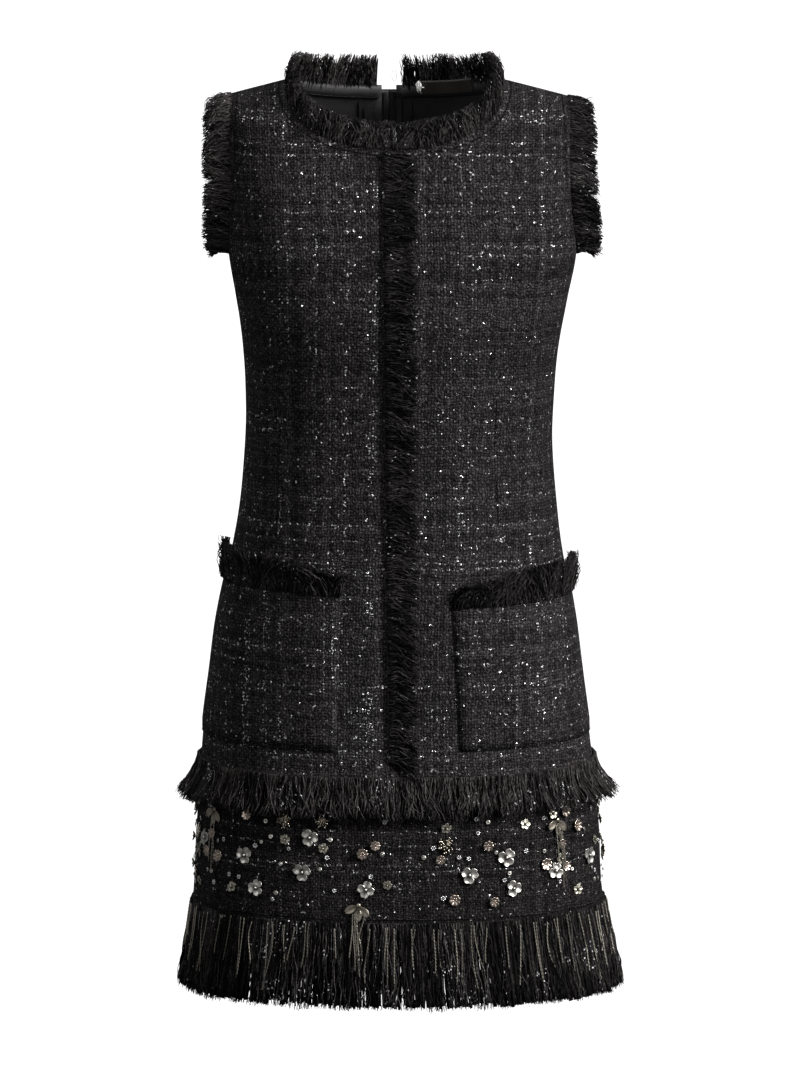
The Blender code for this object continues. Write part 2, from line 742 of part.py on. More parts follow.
def build_sprays(pewter):
    """Three leaves that fan out from a small head."""
    for number, spray in enumerate(SPRAYS, 1):
        flat = TWEED / 2 + 2 * LAY_GAP + FRINGE_CLOTH / 2
        half = math.degrees(SPRAY_WIDTH / 2 / section_at(spray.height).front)

        def cloth(share, reach, lock, spray=spray, half=half, flat=flat):
            angle = spray.angle + between(-half, half, share)
            lift = 0.15 * max(reach - SPRAY_HEAD, 0)
            return skin(angle, spray.height - reach, flat + lift)

        lengths = (SPRAY_HEAD, LEAF_LENGTH)
        comb(f"leaf_spray_{number}", cloth, 3, lengths, pewter, widths=LEAF_WIDTHS, spread=LEAF_SPREAD)


def main():
    for old in list(bpy.data.objects):
        bpy.data.objects.remove(old)
    for name in ("dress", "cutters"):
        bpy.context.scene.collection.children.link(bpy.data.collections.new(name))
    tweed = finish("tweed", (0.012, 0.012, 0.013), 0.85)
    yarn = finish("fringe_yarn", (0.010, 0.010, 0.011), 0.9)
    lining = finish("lining", (0.028, 0.027, 0.029), 0.5)
    tape = finish("zip_tape", (0.008, 0.008, 0.009), 0.8)
    ribbon = finish("label_ribbon", (0.012, 0.011, 0.010), 0.5)
    zip_metal = finish("zip_metal", (0.30, 0.30, 0.31), 0.35, 1.0)
    pewter = finish("pewter", (0.42, 0.41, 0.39), 0.38, 1.0)
    build_panels(tweed)
    build_band(tweed)
    build_pockets(tweed, yarn)
    build_neck_fringe(yarn)
    build_armhole_fringe(yarn)
    build_placket_fringe(yarn)
    build_hip_fringe(yarn)
    build_hem_fringe(yarn)
    build_lining(lining)
    build_zip_tapes(tape)
    build_zip_slider(zip_metal)
    build_zip_pull(zip_metal)
    build_label(ribbon)
    build_flowers(pewter)
    build_sprays(pewter)


main()
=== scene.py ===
"""The looks of a fringed tweed A-line dress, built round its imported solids.

The dress is filled out as if worn. Its form is worked out in millimetres, as in the solids, and a mesh gets
metres. +Z is up, the front faces -Y, and right is +X, as seen from the front. An angle round the body is 0
at the centre front, 90 at the right side seam and 180 at the centre back; on the left it is negative.
"""

from __future__ import annotations

import json
import logging
import math
from dataclasses import dataclass, replace
from enum import Enum
from typing import NamedTuple, Protocol, Sequence

import bmesh
import bpy
import numpy as np
from mathutils import Matrix, Quaternion, Vector

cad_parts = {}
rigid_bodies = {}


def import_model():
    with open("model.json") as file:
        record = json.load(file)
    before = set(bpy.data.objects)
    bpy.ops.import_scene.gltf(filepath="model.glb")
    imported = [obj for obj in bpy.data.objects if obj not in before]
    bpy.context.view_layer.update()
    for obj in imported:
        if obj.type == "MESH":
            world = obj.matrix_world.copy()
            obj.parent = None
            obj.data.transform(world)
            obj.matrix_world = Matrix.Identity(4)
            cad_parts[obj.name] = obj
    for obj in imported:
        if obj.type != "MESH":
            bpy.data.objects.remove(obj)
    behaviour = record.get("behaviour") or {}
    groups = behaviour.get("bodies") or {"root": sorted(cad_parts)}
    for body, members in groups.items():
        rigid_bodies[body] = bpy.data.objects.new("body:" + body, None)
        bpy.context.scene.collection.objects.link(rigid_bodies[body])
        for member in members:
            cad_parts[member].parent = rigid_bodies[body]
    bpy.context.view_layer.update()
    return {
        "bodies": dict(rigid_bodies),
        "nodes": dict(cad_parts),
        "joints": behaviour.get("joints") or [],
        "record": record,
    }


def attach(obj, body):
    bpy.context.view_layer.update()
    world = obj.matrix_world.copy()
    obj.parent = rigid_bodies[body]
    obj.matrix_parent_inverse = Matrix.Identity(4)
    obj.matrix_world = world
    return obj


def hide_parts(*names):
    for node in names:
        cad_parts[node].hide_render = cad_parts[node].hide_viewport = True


LOG = logging.getLogger("dress")
MM = 0.001
DRESS = "dress"
Array = np.ndarray


class Side(Enum):
    """Left and right as seen from the front."""

    LEFT = -1
    RIGHT = 1

    @property
    def word(self) -> str:
        """The side's name, as the nodes spell it."""
        return self.name.lower()


class Face(Enum):
    """The front and the back of the dress."""

    FRONT = "front"
    BACK = "back"


class Section(NamedTuple):
    """The body's outline at one height, in millimetres."""

    height: float
    half_width: float
    front: float
    back: float
    squareness: float
    sway: float


SECTIONS = (
    Section(30, 166.0, 79, 82, 3.0, -1.0),
    Section(-20, 166.0, 83, 88, 3.0, 0.5),
    Section(-60, 165.5, 89, 98, 3.0, 1.0),
    Section(-110, 164.5, 105, 105, 2.9, 2.0),
    Section(-160, 162.7, 116, 106, 2.8, 3.5),
    Section(-205, 154.5, 120, 102, 2.6, 2.5),
    Section(-255, 147.0, 117, 96, 2.45, 1.0),
    Section(-305, 144.2, 114.5, 92, 2.35, 0.5),
    Section(-342, 144.3, 114, 92, 2.3, 0.0),
    Section(-399, 148.8, 116.5, 97, 2.25, 0.0),
    Section(-442, 154.9, 120, 103, 2.25, -1.5),
    Section(-510, 168.0, 124.5, 111, 2.25, -3.0),
    Section(-562, 175.0, 126, 115, 2.25, -3.0),
    Section(-609, 181.4, 127, 118, 2.2, -2.8),
    Section(-650, 185.2, 128, 120, 2.2, -2.0),
    Section(-713, 190.4, 129.5, 122, 2.2, -1.0),
    Section(-783, 194.5, 131.5, 125, 2.2, -0.5),
    Section(-862, 209.0, 138, 132, 2.2, 1.5),
)
UNDERARM = -161.0
BUST = -205.0
HIP_SEAM = -650.0
HEM_SEAM = -783.0
POCKET_BOTTOM = -618.0
POCKET_TOP = {Side.LEFT: -465.0, Side.RIGHT: -477.0}
NECK_MIDDLE = -4.0
NECK_HALF_WIDTH = 100.0
NECK_SQUARENESS = 2.3
NECK_DROP = {Face.FRONT: 53.6, Face.BACK: 17.3}
NECK_LEAN = 0.28
SHOULDER_SLOPE = 0.254
SHOULDER_ROUND = 110.0
SHOULDER_SQUARENESS = 2.2
ARMHOLE_TURN = 26.5
ARMHOLE_SQUARENESS = 3.0
ARMHOLE_LEAN = 0.3
CENTRE_LINE = {Face.FRONT: (-7.0, 0.0), Face.BACK: (-10.0, -2.0)}
PANEL_ROWS = (HIP_SEAM, POCKET_BOTTOM, -567.0, -516.0, None, -410.0, -355.0, -305.0, -255.0, BUST)
NECK_RISES = {Face.FRONT: (0.33, 0.67), Face.BACK: (0.25, 0.5, 0.76)}
NECK_TURNS = {Face.FRONT: (62, 40, 22, 9, 1.6, 0), Face.BACK: (58, 33, 14, 2.5, 0)}
ARMHOLE_RISES = (0, 0.06, 0.22, 0.44, 0.66, 0.84, 0.94, 0.987, 1)
LAST_ROW = len(PANEL_ROWS) + len(ARMHOLE_RISES) - 1
MOUTH_ROW = PANEL_ROWS.index(None)
ROW_STEPS = 5
POCKET_FIRST_SHARE = 0.2
HALVES = ((Face.FRONT, -90.0), (Face.BACK, 90.0))

TWEED = 2.0
POCKET_CLOTH = 1.6
FRINGE_CLOTH = 1.6
LINING_CLOTH = 0.8
TAPE_CLOTH = 1.0
LAY_GAP = 0.35
STRIP = 6.0
HEM_FRINGE = 72.0
HIP_FRINGE = 26.0
NECK_FRONT_FRINGE = 20.0
NECK_BACK_FRINGE = 28.0
ARMHOLE_FRINGE = 19.0
POCKET_FRINGE = 23.0
PLACKET_FRINGE = 24.0
BACK_OPENING = 19.0
ZIP_BOTTOM = -410.0
LEAST_WIDTH = 0.01
MAP_RISE = 5.0
MAP_TURN = 1.5
# About one turn in radians, as the curls of yarn use it.
FULL_TURN = 6.28


def between(low: float | Array, high: float | Array, share: float | Array) -> float | Array:
    """The value at a share of the way from low to high."""
    return low + (high - low) * share


def unit(vectors: Array) -> Array:
    """Vectors along the last axis, each scaled to length 1."""
    return vectors / np.maximum(np.linalg.norm(vectors, axis=-1, keepdims=True), 1e-9)


class DressForm:
    """The middle surface of the cloth, filled out, as a function of angle and height."""

    def __init__(self) -> None:
        """Reads the sections into smooth columns, one value a millimetre."""
        self.heights = np.arange(-900.0, 61.0)
        rows = np.array(SECTIONS)
        last = len(rows) - 2
        i = np.clip(np.searchsorted(-rows[:, 0], -self.heights, side="left") - 1, 0, last)
        before, start = rows[np.maximum(i - 1, 0)], rows[i]
        end, after = rows[i + 1], rows[np.minimum(i + 2, last + 1)]
        span = (end - start)[:, :1]
        t = np.clip((self.heights[:, None] - start[:, :1]) / span, -0.5, 1.5)
        slope_in = (end - before) / (end - before)[:, :1]
        slope_out = (after - start) / (after - start)[:, :1]
        values = (
            (2 * t**3 - 3 * t**2 + 1) * start
            + (t**3 - 2 * t**2 + t) * span * slope_in
            + (3 * t**2 - 2 * t**3) * end
            + (t**3 - t**2) * span * slope_out
        )
        self.columns = values[:, 1:].T
        self._measure_cloth()

    def section(self, height: Array) -> list[Array]:
        """Half width, front depth, back depth, squareness and sway at each height."""
        return [np.interp(height, self.heights, column) for column in self.columns]

    def point(self, angle: Array, height: Array, tube: bool = False) -> Array:
        """The middle of the cloth.

        Args:
            angle: Degrees round the body.
            height: Millimetres above the neck points.
            tube: Leaves the shoulders open, as a straight tube.

        Returns:
            Points in millimetres, on a last axis of three.
        """
        angle, height = np.broadcast_arrays(np.asarray(angle, float), np.asarray(height, float))
        half, front, back, power, sway = self.section(height)
        across, along = np.sin(np.radians(angle)), np.cos(np.radians(angle))
        reach = (np.abs(across) ** power + np.abs(along) ** power) ** (1 / power)
        x = sway + half * across / reach
        depth = np.where(along > 0, front, back)
        share = 1.0 if tube else shoulder_share(x, height)
        return np.stack([x, -depth * along / reach * share, height], -1)

    def outwards(self, angle: Array, height: Array) -> Array:
        """The direction straight out of the cloth.

        Args:
            angle: Degrees round the body.
            height: Millimetres above the neck points.

        Returns:
            Directions of length 1, on a last axis of three.
        """
        angle, height = np.asarray(angle, float), np.asarray(height, float)
        round_it = self.point(angle + 0.5, height) - self.point(angle - 0.5, height)
        down = self.point(angle, height - 0.5) - self.point(angle, height)
        return unit(np.cross(down, round_it))

    def skin(self, angle: Array, height: Array, out: float | Array = 0.0) -> Array:
        """Points that lie off the middle of the cloth by a distance."""
        return self.point(angle, height) + self.outwards(angle, height) * np.asarray(out)[..., None]

    def angle_at(self, x: Array, height: Array, face: Face) -> Array:
        """The angle where a face of the dress has this x.

        Args:
            x: Millimetres to the right of the middle.
            height: Millimetres above the neck points.
            face: Front or back.

        Returns:
            Degrees round the body.
        """
        half, _, _, power, sway = self.section(height)
        across = np.minimum(np.abs(x - sway) / half, 1)
        along = (1 - across**power) ** (1 / power)
        angle = np.degrees(np.arctan2(across, along))
        return np.copysign(angle if face is Face.FRONT else 180 - angle, x - sway)

    def _measure_cloth(self) -> None:
        """Tables of how far the cloth runs round and up, for its weave."""
        self.map_heights = np.arange(-870.0, 21.0, MAP_RISE)
        self.map_angles = np.arange(0.0, 181.0, MAP_TURN)
        angles, heights = np.meshgrid(self.map_angles, self.map_heights)
        tube = self.point(angles, heights, tube=True)
        steps = np.linalg.norm(np.diff(tube, axis=1), axis=-1)
        self.map_round = np.concatenate([np.zeros((len(heights), 1)), np.cumsum(steps, 1)], 1)
        body = self.point(angles, heights)
        steps = np.linalg.norm(np.diff(body, axis=0), axis=-1)
        self.map_up = np.concatenate([np.zeros((1, angles.shape[1])), np.cumsum(steps, 0)], 0)

    def look_up(self, table: Array, angle: Array, height: Array) -> Array:
        """Reads a cloth table at any angle and height.

        Args:
            table: How far the cloth runs, by height and angle.
            angle: Degrees round the body, on either side.
            height: Millimetres above the neck points.

        Returns:
            How far it runs to each place, in millimetres.
        """
        row = np.clip((height - self.map_heights[0]) / MAP_RISE, 0, len(self.map_heights) - 1.001)
        column = np.clip(np.abs(angle) / MAP_TURN, 0, len(self.map_angles) - 1.001)
        r, c = row.astype(int), column.astype(int)
        fr, fc = row - r, column - c
        low = between(table[r, c], table[r, c + 1], fc)
        high = between(table[r + 1, c], table[r + 1, c + 1], fc)
        return between(low, high, fr)

    def cloth_map(self, angle: Array, height: Array, face: Face, side: Side) -> Array:
        """Where a point lies on the flat cloth: across its panel and up its grain.

        Args:
            angle: Degrees round the body.
            height: Millimetres above the neck points.
            face: The panel's face.
            side: The panel's side.

        Returns:
            Pairs in metres, on a last axis of two.
        """
        own = np.asarray(angle, float) * side.value
        round_it = self.look_up(self.map_round, own, height)
        if face is Face.BACK:
            whole = self.look_up(self.map_round, np.full_like(own, 180.0), height)
            beyond = self.look_up(self.map_round, np.maximum(own - 180, 0), height)
            round_it = np.where(own > 180, -beyond, whole - round_it)
        else:
            round_it = np.where(own < 0, -round_it, round_it)
        up = self.look_up(self.map_up, own, height)
        return np.stack([round_it * side.value, up], -1) * MM


def shoulder_line(x: Array) -> Array:
    """The height of the shoulder seam, carried on over the neck."""
    return -SHOULDER_SLOPE * (np.abs(x - NECK_MIDDLE) - NECK_HALF_WIDTH)


def shoulder_share(x: Array, height: Array) -> Array:
    """How much of its full depth the body has at a height: none on the shoulder seam."""
    down = np.clip((shoulder_line(x) - height) / SHOULDER_ROUND, 0, 1)
    return (1 - (1 - down) ** SHOULDER_SQUARENESS) ** (1 / SHOULDER_SQUARENESS)


def centre_line(height: Array, face: Face) -> Array:
    """The x of the centre front or centre back seam."""
    return between(*CENTRE_LINE[face], np.asarray(height) / HIP_SEAM)


def neck_height(x: Array, face: Face) -> Array:
    """The height of the neck's cut edge."""
    across = np.minimum(np.abs(x - NECK_MIDDLE) / NECK_HALF_WIDTH, 1)
    return -NECK_DROP[face] * (1 - across**NECK_SQUARENESS) ** (1 / NECK_SQUARENESS)


@dataclass(frozen=True)
class PanelCut:
    """One front or back panel's cut, from the hip seam to the shoulder."""

    form: DressForm
    face: Face
    side: Side

    @property
    def name(self) -> str:
        """The panel's node."""
        return f"{self.face.value}_{self.side.word}"

    @property
    def corner(self) -> int:
        """The row where the centre seam meets the neck."""
        return len(PANEL_ROWS) + len(NECK_RISES[self.face])

    def level_heights(self) -> list[float]:
        """The heights of the level rows, from the hip seam to the bust."""
        return [POCKET_TOP[self.side] if height is None else height for height in PANEL_ROWS]

    def shoulder_tip(self) -> float:
        """The height of the shoulder seam's outer end."""
        return float(shoulder_line(self.form.point(self.side.value * (90 - ARMHOLE_TURN), 0)[..., 0]))

    def inner(self, row: Array) -> tuple[Array, Array]:
        """The panel's edge down the centre seam and round the neck.

        Args:
            row: Row numbers.

        Returns:
            The angle and the height at each row.
        """
        centre = float(centre_line(0, self.face))
        neck = float(neck_height(centre, self.face))
        rises = [between(BUST, neck, share) for share in NECK_RISES[self.face]]
        knots = [*self.level_heights(), *rises, neck]
        height = np.interp(row, range(self.corner + 1), knots)
        x = centre_line(height, self.face)
        turns = (90, *NECK_TURNS[self.face])
        turn = np.interp(row, range(self.corner, self.corner + len(turns)), turns)
        tip = NECK_MIDDLE + self.side.value * NECK_HALF_WIDTH
        on_neck = between(centre, tip, np.abs(np.cos(np.radians(turn))) ** (2 / NECK_SQUARENESS))
        x = np.where(row > self.corner, on_neck, x)
        height = np.where(row > self.corner, neck_height(x, self.face), height)
        return self.form.angle_at(x, height, self.face), height

    def outer(self, row: Array) -> tuple[Array, Array]:
        """The panel's edge up the side seam and round the armhole.

        Args:
            row: Row numbers.

        Returns:
            The angle and the height at each row.
        """
        first = len(PANEL_ROWS)
        knots = [*self.level_heights(), UNDERARM]
        height = np.interp(row, range(first + 1), knots)
        rise = np.interp(row, range(first, LAST_ROW + 1), ARMHOLE_RISES)
        turn = ARMHOLE_TURN * (1 - (1 - rise) ** ARMHOLE_SQUARENESS) ** (1 / ARMHOLE_SQUARENESS)
        angle = 90 - turn if self.face is Face.FRONT else 90 + turn
        height = np.where(row > first, between(UNDERARM, self.shoulder_tip(), rise), height)
        return self.side.value * np.where(row > first, angle, 90.0), height

    def grid(self, row: Array, share: Array) -> tuple[Array, Array]:
        """Angle and height all over the panel.

        Args:
            row: Row numbers, from 0 at the hip seam to LAST_ROW at the shoulder.
            share: Shares of the way from the centre to the side.

        Returns:
            Two arrays of rows by shares.
        """
        angle_in, low = self.inner(row)
        angle_out, high = self.outer(row)
        far = np.abs(angle_in - angle_out) > 180
        angle_in = np.where(far, angle_in + np.copysign(360, angle_out), angle_in)
        drop_in = shoulder_line(self.form.point(angle_in, low)[..., 0]) - low
        drop_out = shoulder_line(self.form.point(angle_out, high)[..., 0]) - high
        fan = np.maximum(0, (row - len(PANEL_ROWS) + 1) / (LAST_ROW + 1 - len(PANEL_ROWS)))
        edges = (angle_in, angle_out, low, high, drop_in, drop_out, fan)
        angle_in, angle_out, low, high, drop_in, drop_out, fan = (values[:, None] for values in edges)
        angle = between(angle_in, angle_out, share)
        level = between(low, high, share)
        x = self.form.point(angle, level)[..., 0]
        under_seam = shoulder_line(x) - between(drop_in, drop_out, share)
        return angle, between(level, under_seam, fan)


@dataclass(frozen=True)
class Crease:
    """A soft trough or ridge on one face, between two places of x and z."""

    face: Face
    start: tuple[float, float]
    end: tuple[float, float]
    depth: float
    width: float
    sewn: bool = False

    def near(self, x: Array, z: Array) -> tuple[Array, Array]:
        """Where the crease's middle line is nearest.

        Args:
            x: Millimetres to the right of the middle.
            z: Millimetres above the neck points.

        Returns:
            The share of the way along the line, and how far off it lies.
        """
        ax, az = self.start
        dx, dz = self.end[0] - ax, self.end[1] - az
        share = np.clip(((x - ax) * dx + (z - az) * dz) / (dx * dx + dz * dz), 0, 1)
        return share, np.hypot(x - ax - share * dx, z - az - share * dz)

    def lift(self, x: Array, z: Array) -> Array:
        """How far the cloth is lifted, below zero in a trough."""
        share, gap = self.near(x, z)
        return -self.depth * np.exp(-((gap / self.width) ** 2)) * (1 - (2 * share - 1) ** 4)


CREASES = (
    Crease(Face.FRONT, (-98, -215), (-101, -452), 1.6, 6, sewn=True),
    Crease(Face.FRONT, (88, -215), (92, -460), 1.6, 6, sewn=True),
    Crease(Face.FRONT, (-152, -215), (-92, -262), 1.3, 14),
    Crease(Face.FRONT, (146, -215), (88, -255), 1.1, 12),
    Crease(Face.FRONT, (-138, -300), (-70, -330), 1.6, 16),
    Crease(Face.FRONT, (140, -318), (75, -352), 1.4, 18),
    Crease(Face.FRONT, (-146, -392), (-60, -372), 1.3, 15),
    Crease(Face.FRONT, (60, -640), (78, -500), -1.2, 22),
    Crease(Face.FRONT, (-70, -640), (-82, -505), -1.0, 24),
    Crease(Face.BACK, (-62, -190), (-66, -400), 1.6, 6, sewn=True),
    Crease(Face.BACK, (58, -195), (60, -405), 1.6, 6, sewn=True),
    Crease(Face.BACK, (-138, -318), (-20, -335), 1.5, 17),
    Crease(Face.BACK, (138, -300), (25, -322), 1.5, 15),
    Crease(Face.BACK, (-140, -365), (-38, -352), 1.2, 14),
    Crease(Face.BACK, (-96, -640), (-80, -470), -1.4, 24),
    Crease(Face.BACK, (88, -640), (76, -480), -1.2, 26),
)


def relief(points: Array, face: Face) -> Array:
    """How the cloth of one face rises and falls off its even form.

    Args:
        points: Points on the even form, in millimetres.
        face: Front or back.

    Returns:
        The lift at each point, in millimetres.
    """
    x, z = points[..., 0], points[..., 2]
    swell = 0.5 * np.sin(z / 43 + 1.7 * np.sin(x / 58)) + 0.35 * np.sin(x / 27 + z / 61)
    lift = swell * np.clip((-20 - z) / 60, 0, 1)
    for crease in CREASES:
        if crease.face is face:
            lift = lift + crease.lift(x, z)
    return lift


# Finishes.

Socket = bpy.types.NodeSocket
Value = Socket | float | tuple


class Graph:
    """Adds nodes to a tree and joins them."""

    def __init__(self, tree: bpy.types.NodeTree) -> None:
        """Keeps the tree that the nodes go into."""
        self.tree = tree

    def node(
        self, kind: str, inputs: dict[str | int, Value] | None = None, **settings: object
    ) -> bpy.types.Node:
        """A node with its settings and inputs set.

        Args:
            kind: The node's type.
            inputs: Sockets or plain values, by input name or number.
            **settings: The node's own properties.

        Returns:
            The new node.
        """
        made = self.tree.nodes.new(kind)
        for key, value in settings.items():
            setattr(made, key, value)
        for key, value in (inputs or {}).items():
            if isinstance(value, Socket):
                self.tree.links.new(value, made.inputs[key])
            else:
                made.inputs[key].default_value = value
        return made

    def link(self, socket: Socket, node: bpy.types.Node, name: str) -> None:
        """Joins a socket to a node's named input."""
        self.tree.links.new(socket, node.inputs[name])

    def math(self, operation: str, a: Value, b: Value = 0.0, clamp: bool = False) -> Socket:
        """The result of a Math node."""
        made = self.node("ShaderNodeMath", {0: a, 1: b}, operation=operation, use_clamp=clamp)
        return made.outputs[0]

    def multiply_add(self, a: Value, b: Value, c: Value) -> Socket:
        """The product of two numbers, plus a third."""
        return self.node("ShaderNodeMath", {0: a, 1: b, 2: c}, operation="MULTIPLY_ADD").outputs[0]

    def vector(self, operation: str, inputs: dict[str | int, Value]) -> Socket:
        """The result of a Vector Math node."""
        return self.node("ShaderNodeVectorMath", inputs, operation=operation).outputs[0]

    def scale(self, vector: Value, factor: Value) -> Socket:
        """A vector or a colour times a number."""
        return self.vector("SCALE", {0: vector, 3: factor})

    def chance(self, key: Value, dimensions: str) -> bpy.types.NodeOutputs:
        """A random value and colour for each number, as dimensions 1D, or for each vector, as 3D."""
        inputs = {"W" if dimensions == "1D" else "Vector": key}
        return self.node("ShaderNodeTexWhiteNoise", inputs, noise_dimensions=dimensions).outputs

    def attribute(self, name: str) -> Socket:
        """A number that the mesh holds on each point."""
        return self.node("ShaderNodeAttribute", attribute_name=name).outputs["Fac"]

    def bump(self, shader: bpy.types.Node, strength: float, distance: float, height: Socket) -> None:
        """Gives a shader its fine relief, so many metres deep."""
        made = self.node("ShaderNodeBump", {"Strength": strength, "Distance": distance, "Height": height})
        self.link(made.outputs[0], shader, "Normal")

    def mix(self, share: Value, a: Value, b: Value) -> Socket:
        """A colour between two others."""
        made = self.node("ShaderNodeMix", {0: share, 6: a, 7: b}, data_type="RGBA")
        return made.outputs[2]

    def remap(
        self, value: Value, low: float, high: float, to_low: float = 0.0, to_high: float = 1.0
    ) -> Socket:
        """A value carried smoothly from one range to another, and held at its ends."""
        inputs = {0: value, 1: low, 2: high, 3: to_low, 4: to_high}
        return self.node("ShaderNodeMapRange", inputs, interpolation_type="SMOOTHSTEP").outputs[0]

    def noise(self, vector: Value, scale: float, detail: float = 2.0, output: int = 0) -> Socket:
        """A Noise Texture's value, or its colour as output 1."""
        made = self.node("ShaderNodeTexNoise", {"Vector": vector, "Scale": scale, "Detail": detail})
        return made.outputs[output]


def new_group(
    name: str, inputs: dict[str, str], outputs: Sequence[str]
) -> tuple[Graph, bpy.types.NodeOutputs, bpy.types.Node]:
    """An empty shader node group with typed inputs and plain numbers as outputs.

    Args:
        name: The group's name.
        inputs: Socket types by input name.
        outputs: The outputs' names.

    Returns:
        The group's graph, what comes into it, and the node that takes what leaves it.
    """
    tree = bpy.data.node_groups.new(name, "ShaderNodeTree")
    for socket, kind in inputs.items():
        tree.interface.new_socket(name=socket, in_out="INPUT", socket_type=kind)
    for socket in outputs:
        tree.interface.new_socket(name=socket, in_out="OUTPUT", socket_type="NodeSocketFloat")
    graph = Graph(tree)
    return graph, graph.node("NodeGroupInput").outputs, graph.node("NodeGroupOutput")


def pushed(
    graph: Graph, place: Socket, moved: Socket, pushes: Sequence[tuple[float, float]], detail: float
) -> Socket:
    """Coordinates that noise pushes about.

    Args:
        graph: Takes the nodes.
        place: Where the noise is read.
        moved: The coordinates to push.
        pushes: Each noise's scale, and how far it pushes.
        detail: The noises' detail.

    Returns:
        The pushed coordinates.
    """
    for scale, size in pushes:
        noise = graph.noise(place, scale, detail, output=1)
        about_zero = graph.vector("SUBTRACT", {0: noise, 1: (0.5, 0.5, 0.5)})
        moved = graph.vector("MULTIPLY_ADD", {0: about_zero, 1: (size, size, 0), 2: moved})
    return moved


class Threads:
    """Warp and weft threads laid over coordinates that count one for each thread."""

    def __init__(self, graph: Graph, place: Socket, seed: Socket, shifts: Sequence[float]) -> None:
        """Counts the threads and draws a chance for each, and for each crossing.

        Args:
            graph: Takes the nodes.
            place: The coordinates.
            seed: Changes every chance.
            shifts: Keeps the chances of the two ways apart.
        """
        split = graph.node("ShaderNodeSeparateXYZ", {0: place}).outputs
        self.numbers, self.ridges, self.chances = [], [], []
        for axis, shift in enumerate(shifts):
            self.numbers.append(graph.math("FLOOR", split[axis]))
            part = graph.math("FRACT", split[axis])
            self.ridges.append(graph.math("SINE", graph.math("MULTIPLY", part, math.pi)))
            key = graph.math("ADD", graph.math("ADD", self.numbers[axis], shift), seed)
            self.chances.append(graph.chance(key, "1D")["Value"])
        cell = graph.node("ShaderNodeCombineXYZ", {0: self.numbers[0], 1: self.numbers[1], 2: seed})
        self.crossing = graph.chance(cell.outputs[0], "3D")


def weave_group() -> bpy.types.NodeTree:
    """A loose plain weave of curly yarn, with silver squiggles that follow an uneven window check.

    Returns:
        The node group, which reads the flat cloth's coordinates in metres.
    """
    inputs = {"Vector": "NodeSocketVector", "Cell": "NodeSocketFloat", "Seed": "NodeSocketFloat"}
    graph, entry, leave = new_group("tweed weave", inputs, ("Height", "Tone", "Glint", "Spark"))
    place, seed = entry["Vector"], entry["Seed"]
    scaled = graph.scale(place, graph.math("DIVIDE", 1.0, entry["Cell"]))

    moved = pushed(graph, place, scaled, ((330.0, 1.9), (38.0, 2.4)), 2.0)
    yarns = Threads(graph, moved, seed, (0.25, 7.25))
    parity = graph.math("MODULO", graph.math("ADD", graph.math("ADD", *yarns.numbers), 4000.0), 2.0)
    over = []
    for across, along in ((0, 1), (1, 0)):
        arch = graph.multiply_add(yarns.ridges[along], 0.55, 0.45)
        crown = graph.math("MULTIPLY", yarns.ridges[across], arch)
        over.append(graph.math("MULTIPLY", crown, 1.0 - 0.45 * across))
    woven = graph.node("ShaderNodeMix", {0: parity, 2: over[1], 3: over[0]}, data_type="FLOAT").outputs[0]
    grown = graph.math("MULTIPLY", woven, graph.remap(yarns.crossing["Value"], 0.0, 1.0, 0.6, 1.25))
    curl = graph.noise(place, 460.0, 3.0)
    graph.link(graph.multiply_add(curl, 0.9, grown), leave, "Height")
    threads = graph.remap(graph.math("ADD", *yarns.chances), 0.3, 1.7, 0.6, 1.3)
    patches = graph.remap(graph.noise(place, 150.0, 3.0), 0.3, 0.7, 0.68, 1.32)
    graph.link(graph.math("MULTIPLY", threads, patches), leave, "Tone")

    straight = pushed(graph, place, scaled, ((170.0, 2.2), (600.0, 0.8)), 1.0)
    silver = Threads(graph, straight, seed, (0.75, 5.75))
    lines = [graph.math("LESS_THAN", chance, most) for chance, most in zip(silver.chances, (0.08, 0.13))]
    bead = silver.crossing
    kept = graph.math("LESS_THAN", bead["Value"], 0.62)
    shown = graph.math("MULTIPLY", graph.math("MAXIMUM", *lines), kept)
    bunch = graph.remap(graph.noise(place, 24.0, 2.0), 0.4, 0.54)
    stray = graph.math("GREATER_THAN", bead["Value"], 0.93)
    lit = graph.math("MAXIMUM", graph.math("MULTIPLY", shown, bunch), stray)
    dome = graph.math("MULTIPLY", *silver.ridges)
    dot = graph.remap(graph.math("ADD", dome, graph.math("MULTIPLY", curl, 1.9)), 1.52, 1.78)
    graph.link(graph.math("MULTIPLY", lit, dot), leave, "Glint")
    spark = graph.node("ShaderNodeSeparateColor", {0: bead["Color"]}).outputs[1]
    graph.link(graph.math("POWER", spark, 2.0), leave, "Spark")
    return graph.tree


def fuzz_group() -> bpy.types.NodeTree:
    """Uneven yarn: a slow change of tone, a fine grain, and a few metallic specks in bunches.

    Returns:
        The node group, which reads Object coordinates in metres.
    """
    inputs = {"Vector": "NodeSocketVector", "Specks": "NodeSocketFloat"}
    graph, entry, leave = new_group("yarn fuzz", inputs, ("Tone", "Grain", "Speck"))
    place = entry["Vector"]
    slow = graph.remap(graph.noise(place, 55.0, 2.0), 0.3, 0.7, 0.65, 1.25)
    quick = graph.remap(graph.noise(place, 430.0, 2.0), 0.35, 0.68, 0.35, 1.65)
    graph.link(graph.math("MULTIPLY", slow, quick), leave, "Tone")
    graph.link(graph.noise(place, 1400.0, 2.0), leave, "Grain")
    step = graph.vector("FLOOR", {0: graph.scale(place, 750.0)})
    lucky = graph.math("LESS_THAN", graph.chance(step, "3D")["Value"], entry["Specks"])
    bunch = graph.remap(graph.noise(place, 30.0, 1.0), 0.55, 0.62)
    graph.link(graph.math("MULTIPLY", lucky, bunch), leave, "Speck")
    return graph.tree


